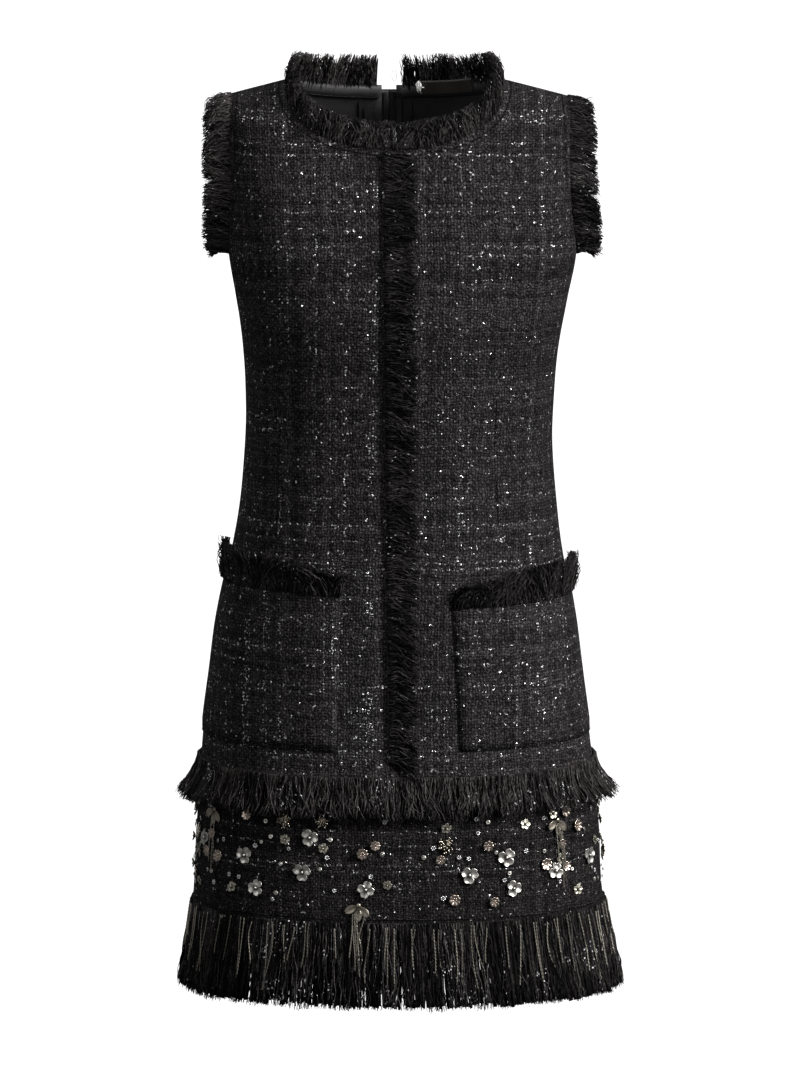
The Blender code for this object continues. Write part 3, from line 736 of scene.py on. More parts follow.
@dataclass(frozen=True)
class Finish:
    """What every finish has: a name and a plain shader."""

    name: str
    roughness: float

    def begin(self) -> tuple[bpy.types.Material, Graph, bpy.types.Node]:
        """Starts the material.

        Returns:
            The material, its graph and its Principled shader.
        """
        material = bpy.data.materials.new(self.name)
        material.use_nodes = True
        shader = material.node_tree.nodes["Principled BSDF"]
        shader.inputs["Roughness"].default_value = self.roughness
        return material, Graph(material.node_tree), shader


@dataclass(frozen=True)
class TweedFinish(Finish):
    """Black bouclé tweed with silver threads, pressed smooth along its turned edges, with painted shade
    between its yarns and along the groove of each turned edge, seam and dart.

    The weave follows the piece's own UV map, and its edge attribute holds the way to the nearest finished
    edge, in millimetres.
    """

    cell: float
    seed: float
    turned: float = 8.5
    glitter: float = 1.0
    # Painted shade: the gaps between the yarns are drawn near black, far darker than the crowns.
    valley: tuple[float, float, float] = (0.0006, 0.0005, 0.0005)
    crown: tuple[float, float, float] = (0.0435, 0.040, 0.0405)
    silver: tuple[float, float, float] = (0.62, 0.62, 0.63)

    def make(self, weave: bpy.types.NodeTree) -> bpy.types.Material:
        """Builds the material.

        Args:
            weave: The tweed's node group.

        Returns:
            The material.
        """
        material, graph, shader = self.begin()
        place = graph.node("ShaderNodeUVMap", uv_map="cloth").outputs[0]
        woven = graph.node("ShaderNodeGroup", node_tree=weave)
        graph.link(place, woven, "Vector")
        woven.inputs["Cell"].default_value = self.cell
        woven.inputs["Seed"].default_value = self.seed
        height, tone, glint, spark = (woven.outputs[name] for name in ("Height", "Tone", "Glint", "Spark"))
        edge = graph.attribute("edge")
        groove = graph.math("ABSOLUTE", graph.math("SUBTRACT", edge, self.turned))
        groove = graph.remap(groove, 0.2, 1.3, 1.0, 0.0)
        # Painted shade: the colour runs from the near-black colour of the gaps between the yarns to the crown
        # colour on top of them.
        yarn = graph.mix(graph.remap(height, 0.3, 1.5), (*self.valley, 1), (*self.crown, 1))
        # Painted shade: the tweed's tone is cut to 0.45 along the groove of each turned edge, seam and dart.
        tone = graph.math("MULTIPLY", tone, graph.remap(groove, 0.0, 1.0, 1.0, 0.45))
        bright = graph.remap(spark, 0.0, 0.85, 0.1 * self.glitter, 1.1 * self.glitter)
        silver = graph.scale(self.silver, bright)
        glint = graph.math("MULTIPLY", glint, graph.remap(edge, self.turned - 4, self.turned + 2, 0.25, 1.0))
        graph.link(graph.mix(glint, graph.scale(yarn, tone), silver), shader, "Base Color")
        graph.link(glint, shader, "Metallic")
        graph.link(graph.remap(glint, 0.0, 1.0, self.roughness, 0.3), shader, "Roughness")
        shader.inputs["Specular IOR Level"].default_value = 0.03
        graph.bump(shader, 1.0, 0.0012, graph.multiply_add(groove, -1.2, height))
        return material


@dataclass(frozen=True)
class YarnFinish(Finish):
    """Soft black yarn; each strand has its own tone, which also carries painted light and shade."""

    dark: tuple[float, float, float]
    light: tuple[float, float, float]
    specks: float

    def make(self, fuzz: bpy.types.NodeTree) -> bpy.types.Material:
        """Builds the material.

        Args:
            fuzz: The yarn's node group.

        Returns:
            The material.
        """
        material, graph, shader = self.begin()
        place = graph.node("ShaderNodeTexCoord").outputs["Object"]
        uneven = graph.node("ShaderNodeGroup", node_tree=fuzz)
        graph.link(place, uneven, "Vector")
        uneven.inputs["Specks"].default_value = self.specks
        share = graph.math("MULTIPLY", graph.attribute("tone"), uneven.outputs["Tone"], clamp=True)
        yarn = graph.mix(share, (*self.dark, 1), (*self.light, 1))
        speck = uneven.outputs["Speck"]
        graph.link(graph.mix(speck, yarn, (0.6, 0.6, 0.62, 1)), shader, "Base Color")
        graph.link(speck, shader, "Metallic")
        shader.inputs["Specular IOR Level"].default_value = 0.04
        graph.bump(shader, 0.5, 0.0003, uneven.outputs["Grain"])
        return material


@dataclass(frozen=True)
class ClothFinish(Finish):
    """A fine, smooth cloth, such as lining, tape or ribbon, with a faint rib."""

    colour: tuple[float, float, float]
    rib: float
    sheen: float

    def make(self) -> bpy.types.Material:
        """Builds the material on the piece's own UV map.

        Returns:
            The material.
        """
        material, graph, shader = self.begin()
        place = graph.node("ShaderNodeUVMap", uv_map="cloth").outputs[0]
        split = graph.node("ShaderNodeSeparateXYZ", {0: place}).outputs
        slant = graph.math("ADD", split[0], graph.math("MULTIPLY", split[1], 0.5))
        rib = graph.math("SINE", graph.math("MULTIPLY", slant, 2 * math.pi / self.rib))
        slow = graph.noise(place, 40.0, 3.0)
        dark = graph.scale(self.colour, graph.remap(slow, 0.3, 0.7, 0.8, 1.2))
        graph.link(dark, shader, "Base Color")
        rough = graph.remap(slow, 0.3, 0.7, self.roughness - 0.08, self.roughness + 0.1)
        graph.link(rough, shader, "Roughness")
        shader.inputs["Sheen Weight"].default_value = self.sheen
        graph.bump(shader, 0.35, 0.0002, rib)
        return material


@dataclass(frozen=True)
class MetalFinish(Finish):
    """Cast or stamped metal, darker where the piece's tone attribute is high: in dark parts of its own, and
    as painted shade along petal folds, towards petals' inner ends and in rosette flutes.
    """

    bright: tuple[float, float, float]
    dull: tuple[float, float, float]
    grain: float

    def make(self) -> bpy.types.Material:
        """Builds the material on Object coordinates.

        Returns:
            The material.
        """
        material, graph, shader = self.begin()
        place = graph.node("ShaderNodeTexCoord").outputs["Object"]
        worn = graph.noise(place, self.grain, 3.0)
        hollow = graph.remap(worn, 0.35, 0.75, 0.0, 0.35)
        share = graph.math("ADD", graph.attribute("tone"), hollow, clamp=True)
        graph.link(graph.mix(share, (*self.bright, 1), (*self.dull, 1)), shader, "Base Color")
        rough = graph.remap(worn, 0.3, 0.7, self.roughness - 0.07, self.roughness + 0.13)
        graph.link(rough, shader, "Roughness")
        shader.inputs["Metallic"].default_value = 1.0
        graph.bump(shader, 0.3, 0.0001, worn)
        return material


class Wardrobe:
    """Every finish of the dress, made once."""

    def __init__(self) -> None:
        """Builds the groups and the materials."""
        weave, fuzz = weave_group(), fuzz_group()
        self.tweed = TweedFinish("tweed", 0.85, cell=0.0029, seed=3.5).make(weave)
        self.pocket_tweed = TweedFinish("pocket tweed", 0.85, cell=0.0029, seed=41.5, turned=-2.5).make(weave)
        # Painted shade: the band's tweed is a darker copy of the same cloth, with a darker crown and dimmer
        # silver, for the band that lies under the hip fringe and among the trims.
        self.shaded_band_tweed = TweedFinish(
            "band tweed with painted shade", 0.85, cell=0.0027, seed=87.5, turned=5.0, glitter=0.6, crown=(0.027, 0.0245, 0.0245)
        ).make(weave)
        black = (0.0008, 0.0007, 0.0007)
        self.yarn = YarnFinish("fringe yarn", 0.75, black, (0.046, 0.042, 0.0415), 0.012).make(fuzz)
        bright = YarnFinish("fringe yarn with silver", 0.75, black, (0.05, 0.046, 0.045), 0.035)
        self.bright_yarn = bright.make(fuzz)
        thread = YarnFinish("sewing thread", 0.55, (0.003, 0.003, 0.003), (0.018, 0.018, 0.019), 0.0)
        self.thread = thread.make(fuzz)
        self.lining = ClothFinish("lining", 0.45, (0.026, 0.024, 0.025), 0.0007, 0.05).make()
        self.facing = ClothFinish("facing", 0.65, (0.011, 0.010, 0.0105), 0.0008, 0.02).make()
        self.tape = ClothFinish("zip tape", 0.7, (0.008, 0.008, 0.009), 0.0009, 0.05).make()
        self.ribbon = ClothFinish("label ribbon", 0.33, (0.013, 0.0105, 0.008), 0.0005, 0.2).make()
        self.tack = YarnFinish("white thread", 0.6, (0.7, 0.69, 0.66), (0.92, 0.91, 0.88), 0.0).make(fuzz)
        self.pewter = MetalFinish("pewter", 0.36, (0.62, 0.60, 0.555), (0.05, 0.048, 0.045), 420.0).make()
        champagne = MetalFinish("champagne metal", 0.24, (0.66, 0.61, 0.53), (0.06, 0.05, 0.035), 380.0)
        self.champagne = champagne.make()
        self.rose = MetalFinish("rose metal", 0.24, (0.52, 0.44, 0.38), (0.05, 0.04, 0.03), 380.0).make()
        self.olive = MetalFinish("olive metal", 0.38, (0.44, 0.42, 0.35), (0.05, 0.045, 0.035), 420.0).make()
        self.leaf = MetalFinish("leaf metal", 0.34, (0.40, 0.36, 0.30), (0.1, 0.085, 0.065), 380.0).make()
        self.chain = MetalFinish("chain metal", 0.36, (0.38, 0.355, 0.30), (0.09, 0.083, 0.07), 600.0).make()
        self.silver = MetalFinish("silver thread", 0.3, (0.55, 0.55, 0.56), (0.15, 0.15, 0.155), 300.0).make()
        self.steel = MetalFinish("zip steel", 0.3, (0.3, 0.3, 0.305), (0.12, 0.12, 0.125), 250.0).make()


# Meshes.


def add_piece(
    name: str, mesh: bpy.types.Mesh, material: bpy.types.Material, nodes: Sequence[str] = ()
) -> bpy.types.Object:
    """Puts a mesh in the scene as a piece of the dress.

    Args:
        name: The piece's name.
        mesh: Its mesh, in metres.
        material: Its first material.
        nodes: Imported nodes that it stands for.

    Returns:
        The new object.
    """
    mesh.materials.append(material)
    piece = bpy.data.objects.new(name, mesh)
    bpy.context.scene.collection.objects.link(piece)
    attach(piece, DRESS)
    if nodes:
        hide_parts(*nodes)
    LOG.info("%s: %d faces", name, len(mesh.polygons))
    return piece


def set_values(mesh: bpy.types.Mesh, name: str, values: Array) -> None:
    """Writes a number on each point, which its finish reads."""
    layer = mesh.attributes.new(name, "FLOAT", "POINT")
    layer.data.foreach_set("value", np.asarray(values, np.float32).ravel())


def way_to(points: Array, line: Array) -> Array:
    """How far each point lies from a line through many points.

    Args:
        points: The points, in millimetres, on any number of axes and a last one of three.
        line: The line's own points, in order.

    Returns:
        Millimetres, one for each point.
    """
    start, step = line[:-1], np.diff(line, axis=0)
    nearest = np.full(points.shape[:-1], np.inf)
    for a, d in zip(start, step):
        t = np.clip((points - a) @ d / max(float(d @ d), 1e-9), 0, 1)
        nearest = np.minimum(nearest, np.linalg.norm(points - a - t[..., None] * d, axis=-1))
    return nearest


def sheet_mesh(name: str, points: Array, flat: Array, out: Array) -> bpy.types.Mesh:
    """One layer of cloth through a grid of points.

    Args:
        name: The mesh's name.
        points: Rows by columns by three, in millimetres.
        flat: Where each point lies on the flat cloth, in metres.
        out: The way out of the cloth at the grid's middle.

    Returns:
        The mesh, its faces turned outwards, with its flat map as a UV map.
    """
    rows, columns = points.shape[:2]
    bm = bmesh.new()
    bmesh.ops.create_grid(bm, x_segments=columns - 1, y_segments=rows - 1, size=0.5)
    bm.verts.ensure_lookup_table()
    mesh = bpy.data.meshes.new(name)
    j, i = rows // 2, columns // 2
    facing = np.cross(points[j, i + 1] - points[j, i], points[j + 1, i] - points[j, i])
    if float(facing @ out) < 0:
        bmesh.ops.reverse_faces(bm, faces=bm.faces)
    bm.to_mesh(mesh)
    bm.free()
    mesh.vertices.foreach_set("co", (points * MM).astype(np.float32).ravel())
    layer = mesh.uv_layers.new(name="cloth")
    corners = np.empty(len(mesh.loops), np.int32)
    mesh.loops.foreach_get("vertex_index", corners)
    layer.data.foreach_set("uv", flat.reshape(-1, 2)[corners].astype(np.float32).ravel())
    mesh.shade_smooth()
    mesh.update()
    return mesh


def declare_sheet(points: Array) -> None:
    """Works out a piece of cloth's widest row and longest column, and keeps neither.

    Args:
        points: Its grid of points, in millimetres.
    """
    width, length = (
        float(np.linalg.norm(np.diff(points, axis=axis), axis=-1).sum(axis).max()) * MM for axis in (1, 0)
    )
    width = max(width, LEAST_WIDTH)


class Cloth(NamedTuple):
    """What a piece of cloth is made of, and how thick it is in millimetres."""

    material: bpy.types.Material
    slot: str
    thickness: float
    inside: bpy.types.Material | None = None


def lay_cloth(
    name: str, grid: tuple[Array, Array, Array], cloth: Cloth, rests_on: Sequence[str],
    nodes: Sequence[str] = (), edge: Array | None = None,
) -> bpy.types.Object:
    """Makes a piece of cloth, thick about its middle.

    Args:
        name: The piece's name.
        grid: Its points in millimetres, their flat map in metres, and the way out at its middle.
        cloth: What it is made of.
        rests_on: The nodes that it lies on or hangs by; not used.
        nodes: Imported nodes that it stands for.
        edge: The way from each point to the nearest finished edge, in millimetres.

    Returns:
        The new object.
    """
    mesh = sheet_mesh(name, *grid)
    if edge is not None:
        set_values(mesh, "edge", edge)
    piece = add_piece(name, mesh, cloth.material, nodes)
    wall = piece.modifiers.new("cloth", "SOLIDIFY")
    wall.thickness = cloth.thickness * MM
    wall.offset = 0
    wall.use_even_offset = False
    if cloth.inside is not None:
        piece.data.materials.append(cloth.inside)
        wall.material_offset = 1
    declare_sheet(grid[0])
    return piece


def rows_between(first: float = 0, last: float = LAST_ROW) -> Array:
    """Row numbers, ROW_STEPS to each whole row, from one row to another."""
    return np.linspace(first, last, round((last - first) * ROW_STEPS) + 1)


class Place(Protocol):
    """Puts points on a length of fringe."""

    def __call__(self, share: Array, reach: Array, drift: Array, off: Array) -> Array:
        """Finds the points.

        Args:
            share: How far along the seam, from 0 to 1.
            reach: How far up the fringe from the seam, in millimetres.
            drift: How far from there along the seam, in millimetres.
            off: How far out of the fringe's middle layer, in millimetres.

        Returns:
            Points in millimetres, on a last axis of three.
        """


def tone_mesh(name: str, points: Sequence[Array], faces: list, tones: Sequence[Array]) -> bpy.types.Mesh:
    """Joins many parts into one smooth mesh, with a tone on each point.

    Args:
        name: The mesh's name.
        points: Each part's points, in millimetres.
        faces: All the parts' faces.
        tones: Each part's tones.

    Returns:
        The mesh, in metres.
    """
    mesh = bpy.data.meshes.new(name)
    mesh.from_pydata((np.concatenate(points) * MM).tolist(), [], faces)
    set_values(mesh, "tone", np.concatenate(tones))
    mesh.shade_smooth()
    mesh.update()
    return mesh


class Yarns:
    """Collects strands as thin closed tubes of three sides, for one joined mesh."""

    sides = 3

    def __init__(self) -> None:
        """Starts with no strand."""
        self.points: list[Array] = []
        self.faces: list[Array] = []
        self.caps: list[Array] = []
        self.tones: list[Array] = []
        self.count = 0

    def add(self, paths: Array, radii: Array, tone: Array, other_radii: Array | None = None) -> None:
        """Adds strands that all have the same number of points.

        Args:
            paths: Strands by points by three, in millimetres.
            radii: Strands by points, or one row for all, in millimetres.
            tone: One tone a strand.
            other_radii: Radii the other way, where a strand isn't round.
        """
        number, steps = paths.shape[:2]
        run = unit(np.gradient(paths, axis=1))
        level = np.array([0.31, 0.23, 0.92])
        other = np.array([0.87, -0.44, 0.2])
        reference = np.where(np.abs(run @ level)[..., None] > 0.8, other, level)
        a = unit(np.cross(run, reference))
        b = np.cross(run, a)
        turn = 2 * math.pi * np.arange(self.sides) / self.sides
        size = (number, steps)
        wide = np.broadcast_to(radii, size)[..., None, None]
        deep = wide if other_radii is None else np.broadcast_to(other_radii, size)[..., None, None]
        ring = a[:, :, None] * np.cos(turn)[:, None] * wide + b[:, :, None] * np.sin(turn)[:, None] * deep
        tube = paths[:, :, None] + ring
        base = self.count + np.arange(number)[:, None, None] * steps * self.sides
        ring_start = np.arange(steps - 1)[:, None] * self.sides
        here = np.arange(self.sides)[None]
        after = (here + 1) % self.sides
        low, high = ring_start + here, ring_start + after
        quads = np.stack([low, high, high + self.sides, low + self.sides], -1)
        self.faces.append((base[..., None] + quads[None]).reshape(-1, 4))
        first = self.count + np.arange(number)[:, None] * steps * self.sides
        self.caps.append(first + np.arange(self.sides)[::-1][None])
        self.caps.append(first + (steps - 1) * self.sides + np.arange(self.sides)[None])
        self.points.append(tube.reshape(-1, 3))
        self.tones.append(np.repeat(np.asarray(tone, float), steps * self.sides))
        self.count += number * steps * self.sides

    def mesh(self, name: str) -> bpy.types.Mesh:
        """All the strands as one mesh."""
        faces = np.concatenate(self.faces).tolist() + np.concatenate(self.caps).tolist()
        return tone_mesh(name, self.points, faces, self.tones)


@dataclass(frozen=True)
class Locks:
    """How a fringe's yarn hangs together, in millimetres."""

    count: int
    length: float
    radius: float = 0.43
    steps: int = 9
    uneven: float = 0.12
    clump: float = 6.0
    pull: float = 0.45
    lean: float = 0.22
    curl: float = 2.2
    crimp: float = 0.55
    puff: float = 2.0
    depth: float = 1.6
    # Painted light and shade: scales every strand's tone, so that one fringe is drawn lighter or darker than
    # another.
    painted_light: float = 1.0
    lock_tone: float = 0.16
    tip: float = 0.5
    core_tip: float = 0.5
    core_width: float = 2.2

    def grow_full(self, rng: np.random.Generator, place: Place, run: float, yarns: Yarns) -> None:
        """Grows the strands over a few thick dark ones, which close the gaps behind them and are drawn darker
        as painted shade inside the fringe.

        Args:
            rng: Where the chance comes from.
            place: Turns share, reach, drift along the seam and height off the cloth into points.
            run: The seam's length in millimetres.
            yarns: Takes the strands.
        """
        # The cores' tone is scaled to 0.45 of the rest: painted shade inside the fringe.
        core = replace(
            self, count=round(0.38 * self.count), length=0.965 * self.length, steps=5, curl=0.5, crimp=0.0,
            radius=self.core_width * self.radius, tip=self.core_tip, depth=0.5 * self.depth,
            pull=0.4 * self.pull, lean=0.6 * self.lean, painted_light=0.45 * self.painted_light,
        )
        core.grow(rng, place, run, yarns)
        self.grow(rng, place, run, yarns)

    def grow(self, rng: np.random.Generator, place: Place, run: float, yarns: Yarns) -> None:
        """Grows the strands from a seam.

        Args:
            rng: Where the chance comes from.
            place: Turns share, reach, drift along the seam and height off the cloth into points.
            run: The seam's length in millimetres.
            yarns: Takes the strands.
        """
        root = (np.arange(self.count) + rng.uniform(0, 1, self.count)) / self.count
        number = max(2, round(run / self.clump))
        even = np.linspace(0, 1, number // 2 + 2)[1:-1]
        bounds = np.sort(np.concatenate([[0, 1], rng.uniform(0, 1, number // 2), even]))
        number = len(bounds) - 1
        own = np.clip(np.searchsorted(bounds, root) - 1, 0, number - 1)
        middle = (bounds[own] + bounds[own + 1]) / 2
        column = (self.count, 1)
        t = np.linspace(0, 1, self.steps)[None]
        share = 1 + rng.normal(0, self.uneven, number)[own] + rng.normal(0, self.uneven, self.count)
        length = self.length * np.clip(share, 0.55, 1.14)[:, None]
        pull = self.pull * rng.uniform(0, 1.4, number)[own][:, None]
        lean = rng.normal(0, self.lean, number)[own][:, None] + rng.normal(0, 0.4 * self.lean, column)
        drift = ((middle - root) * run)[:, None] * pull * t**1.2 + lean * length * t**1.3
        layer = rng.uniform(-1, 1, column)
        off = self.depth * layer * (1 - 0.2 * t) + self.puff * np.sin(2.6 * t) * 0.5
        sides = np.where(np.arange(self.steps) % 2, 1.0, -1.0)[None]
        waves = []
        for _ in range(2):
            phase, beat = rng.uniform(0, FULL_TURN, column), rng.uniform(0.5, 1.6, column)
            wave = self.curl * rng.uniform(0.2, 1.4, column) * t**0.8 * np.sin(beat * FULL_TURN * t + phase)
            waves.append(wave + self.crimp * sides * rng.uniform(-1, 1, (self.count, self.steps)))
        reach = -0.5 * STRIP + (1.5 * STRIP + length) * t
        paths = place(root[:, None] + 0 * t, reach, drift + waves[0], off + waves[1])
        taper = np.interp(t[0], [0, 0.8, 1], [1.0, 0.95, self.tip])
        radii = self.radius * taper[None] * rng.uniform(0.65, 1.35, (self.count, self.steps))
        # Each strand's tone is random, and also lighter on the fringe's outer side and darker deeper in:
        # painted shade.
        tone = 0.5 + 0.3 * layer[:, 0] + rng.normal(0, 0.24, self.count)
        tone = tone + rng.normal(0, self.lock_tone, number)[own]
        yarns.add(paths, radii, self.painted_light * np.clip(tone, 0.04, 1.4) ** 1.8)


class Seamline:
    """A line that fringe stands on, with the way it grows and the way out of the cloth."""

    def __init__(self, points: Array, grow: Array, away_from: Array) -> None:
        """Measures the line.

        Args:
            points: The line's points, in millimetres.
            grow: The way the fringe grows at each point.
            away_from: A point that the fringe's outer side turns away from, at each point.
        """
        steps = np.linalg.norm(np.diff(points, axis=0), axis=1)
        self.shares = np.concatenate([[0], np.cumsum(steps)]) / steps.sum()
        self.length = float(steps.sum())
        run = unit(np.gradient(points, axis=0))
        out = unit(np.cross(run, grow))
        flip = np.sign(np.sum(out * (points - away_from), axis=1))
        smooth = np.ones(9) / 9
        out = out * np.where(flip == 0, 1, flip)[:, None]
        columns = [np.convolve(np.pad(column, 4, "edge"), smooth, "valid") for column in out.T]
        out = unit(np.stack(columns, 1))
        self.tables = [points, unit(grow), run, out]

    def at(self, share: Array) -> list[Array]:
        """Point, growth, run and outer direction at shares of the line."""
        tables = ([np.interp(share, self.shares, column) for column in table.T] for table in self.tables)
        return [np.stack(columns, -1) for columns in tables]

    def place(self, share: Array, reach: Array, drift: Array, off: Array) -> Array:
        """Points off the line: up the fringe, along the seam and out of the cloth."""
        point, grow, run, out = self.at(share)
        return point + grow * reach[..., None] + run * drift[..., None] + out * off[..., None]


def heading(yarns: Yarns, rng: np.random.Generator, place: Place, run: float) -> None:
    """The narrow strip that holds a fringe's roots: cords that lie side by side along the seam.

    Args:
        yarns: Takes the cords.
        rng: Where the chance comes from.
        place: Turns share, reach, drift and height into points.
        run: The seam's length in millimetres.
    """
    cords = 6
    steps = max(12, round(run / 5))
    share = np.broadcast_to(np.linspace(0.001, 0.999, steps), (cords, steps))
    reach = np.linspace(-0.5 * STRIP, STRIP, cords)[:, None] + rng.normal(0, 0.1, (cords, steps))
    off = rng.normal(0, 0.08, (cords, steps))
    radii = np.full((1, steps), 0.8 * STRIP / (cords - 1))
    yarns.add(place(share, reach, 0 * share, off), radii, np.full(cords, 0.35))


class Casting:
    """A small metal shape made of rounded bits, in millimetres, to be copied many times."""

    def __init__(self) -> None:
        """Starts empty, with a tone on each point."""
        self.bm = bmesh.new()
        self.tone = self.bm.verts.layers.float.new("tone")

    def blob(
        self, middle: Sequence[float], size: Sequence[float], tone: float, sides: int = 8, bands: int = 5
    ) -> list[bmesh.types.BMVert]:
        """Adds a flattened ball.

        Args:
            middle: Where its middle lies.
            size: Half its size on each axis.
            tone: The tone of its points.
            sides: Faces round it.
            bands: Rows of faces from end to end.

        Returns:
            Its points.
        """
        matrix = Matrix.Translation(middle) @ Matrix.Diagonal((*size, 1))
        made = bmesh.ops.create_uvsphere(self.bm, u_segments=sides, v_segments=bands, radius=1, matrix=matrix)
        for vert in made["verts"]:
            vert[self.tone] = tone
        return made["verts"]

    def petal(
        self, reach: float, length: float, width: float, turn: float, cup: float = 0.35, point: float = 0.0,
        sides: int = 12,
    ) -> None:
        """Adds a cupped petal or leaf, with a fold down its middle.

        Args:
            reach: How far its middle lies from the shape's middle.
            length: Half its length.
            width: Half its width.
            turn: Degrees round the shape.
            cup: How much its rim rises, as a share of its half width.
            point: How much its ends narrow, from 0 to 1.
            sides: Faces round it.
        """
        made = self.blob((reach, 0, 0.6), (length, width, 0.4), 0.0, sides, 6)
        for vert in made:
            along, across = (vert.co.x - reach) / length, vert.co.y / width
            vert.co.y *= 1 - point * along * along
            vert.co.z += cup * width * (0.8 * across * across + 0.5 * along * along)
            vert.co.x -= 0.3 * length * max(along, 0) ** 3 * max(0.0, 1 - 6 * across * across)
            # Painted shade: the petal is darker down its middle fold and towards its inner end, near the
            # flower's middle.
            vert[self.tone] = 0.35 * math.exp(-((across / 0.2) ** 2)) + 0.95 * max(0.0, -along) ** 1.5
        spin = Matrix.Rotation(math.radians(turn), 3, "Z")
        bmesh.ops.rotate(self.bm, verts=made, cent=(0, 0, 0), matrix=spin)

    def flower(self, petals: int, radius: float, width: float = 0.52, sides: int = 12) -> "Casting":
        """Adds round petals about a dark ring and a bead.

        Args:
            petals: How many there are.
            radius: The flower's radius.
            width: Half a petal's width, as a share of the radius.
            sides: Faces round a petal.

        Returns:
            The casting itself.
        """
        for k in range(petals):
            self.petal(radius * 0.56, radius * 0.46, radius * width, 360 * k / petals, cup=0.5, sides=sides)
        self.blob((0, 0, 1.5), (radius * 0.27, radius * 0.27, 0.9), 1.3, 8, 4)
        self.blob((0, 0, 2.6), (radius * 0.16, radius * 0.16, 1.0), -0.8, 6, 4)
        return self

    def rosette(self, radius: float, lobes: int = 8) -> "Casting":
        """Adds a fluted disc with a beaded middle.

        Args:
            radius: The disc's radius.
            lobes: How many flutes it has.

        Returns:
            The casting itself.
        """
        for vert in self.blob((0, 0, 0.9), (radius, radius, 0.8), 0.0, lobes * 3, 6):
            turn, share = math.atan2(vert.co.y, vert.co.x), math.hypot(vert.co.x, vert.co.y) / radius
            flute = math.cos(lobes * turn)
            vert.co.x *= 1 + 0.07 * flute
            vert.co.y *= 1 + 0.07 * flute
            vert.co.z += 1.7 * share**2 + 0.55 * flute * share
            # Darker in the flute troughs as painted shade, and round the middle as a dark ring.
            vert[self.tone] = 0.8 * max(0.0, -flute) * share + 0.9 * max(0.0, 0.5 - share)
        for k in range(5):
            turn = 2 * math.pi * k / 5
            self.blob((1.5 * math.cos(turn), 1.5 * math.sin(turn), 1.9), (0.8, 0.8, 0.8), 0.1, 5, 3)
        return self

    def burst(self, radius: float, rng: np.random.Generator) -> "Casting":
        """Adds short oval beads that point every way from a middle.

        Args:
            radius: How far they reach.
            rng: Where the chance comes from.

        Returns:
            The casting itself.
        """
        self.blob((0, 0, 0.6), (radius * 0.75, radius * 0.75, 0.7), 1.0, 8, 4)
        for k in range(32):
            turn = 2.4 * k + rng.uniform(-0.5, 0.5)
            out = (radius - 1) * math.sqrt((k + 0.6) / 33) + rng.uniform(-0.5, 0.5)
            size = (rng.uniform(0.85, 1.3), 0.85, 0.85)
            made = self.blob((out, 0, 1.5 + 1.0 * (1 - out / radius)), size, rng.uniform(-0.7, 0.45), 5, 3)
            bmesh.ops.rotate(self.bm, verts=made, cent=(0, 0, 0), matrix=Matrix.Rotation(turn, 3, "Z"))
        return self

    def star(self, radius: float) -> "Casting":
        """Adds a flake of six small lobes.

        Args:
            radius: The flake's radius.

        Returns:
            The casting itself.
        """
        for k in range(6):
            turn = math.pi * k / 3
            middle = (0.62 * radius * math.cos(turn), 0.62 * radius * math.sin(turn), 0.7)
            self.blob(middle, (0.36 * radius, 0.36 * radius, 0.45), -0.2, 5, 3)
        self.blob((0, 0, 0.9), (0.3 * radius, 0.3 * radius, 0.6), 0.5, 5, 3)
        return self

    def sequin(self, radius: float) -> "Casting":
        """Adds a cupped sequin held by a bead.

        Args:
            radius: The sequin's radius.

        Returns:
            The casting itself.
        """
        for vert in self.blob((0, 0, 0.5), (radius, radius, 0.25), 0.0, 9, 4):
            vert.co.z += 0.5 * (vert.co.xy.length / radius) ** 2
        self.blob((0, 0, 1.1), (0.42 * radius, 0.42 * radius, 0.7), 0.6, 6, 4)
        return self

    def leaves(self) -> "Casting":
        """Adds three leaves that fan down from a small head.

        Returns:
            The casting itself.
        """
        for turn, reach in ((-152, 8.6), (-92, 9.6), (-48, 8.4)):
            self.petal(reach, 6.9, 3.7, turn, cup=0.3, point=0.42, sides=16)
        self.blob((0, 0, 0.9), (2.4, 2.4, 1.0), 0.3)
        return self

    def shape(self) -> tuple[Array, list[list[int]], Array]:
        """Ends the casting.

        Returns:
            Its points, its faces and its tones.
        """
        self.bm.verts.index_update()
        points = np.array([vert.co[:] for vert in self.bm.verts])
        tones = np.array([vert[self.tone] for vert in self.bm.verts])
        faces = [[vert.index for vert in face.verts] for face in self.bm.faces]
        self.bm.free()
        return points, faces, tones


class Scatter:
    """Copies castings into one joined mesh."""

    def __init__(self) -> None:
        """Starts with no copy."""
        self.points: list[Array] = []
        self.faces: list[list[int]] = []
        self.tones: list[Array] = []
        self.count = 0

    def add(
        self, shape: tuple[Array, list[list[int]], Array], frame: tuple[Array, Array], size: float = 1.0
    ) -> None:
        """Adds one copy of a shape.

        Args:
            shape: Its points, faces and tones.
            frame: Its middle, and its three axes.
            size: How much it is scaled.
        """
        points, faces, tones = shape
        middle, axes = frame
        self.points.append(middle + (points * size) @ axes)
        self.faces.extend([index + self.count for index in face] for face in faces)
        self.tones.append(tones)
        self.count += len(points)

    def mesh(self, name: str) -> bpy.types.Mesh:
        """All the copies as one mesh."""
        return tone_mesh(name, self.points, self.faces, self.tones)


class Trim(NamedTuple):
    """A metal trim on the band: where, how big, and turned how far."""

    angle: float
    height: float
    radius: float
    turn: float = 0.0


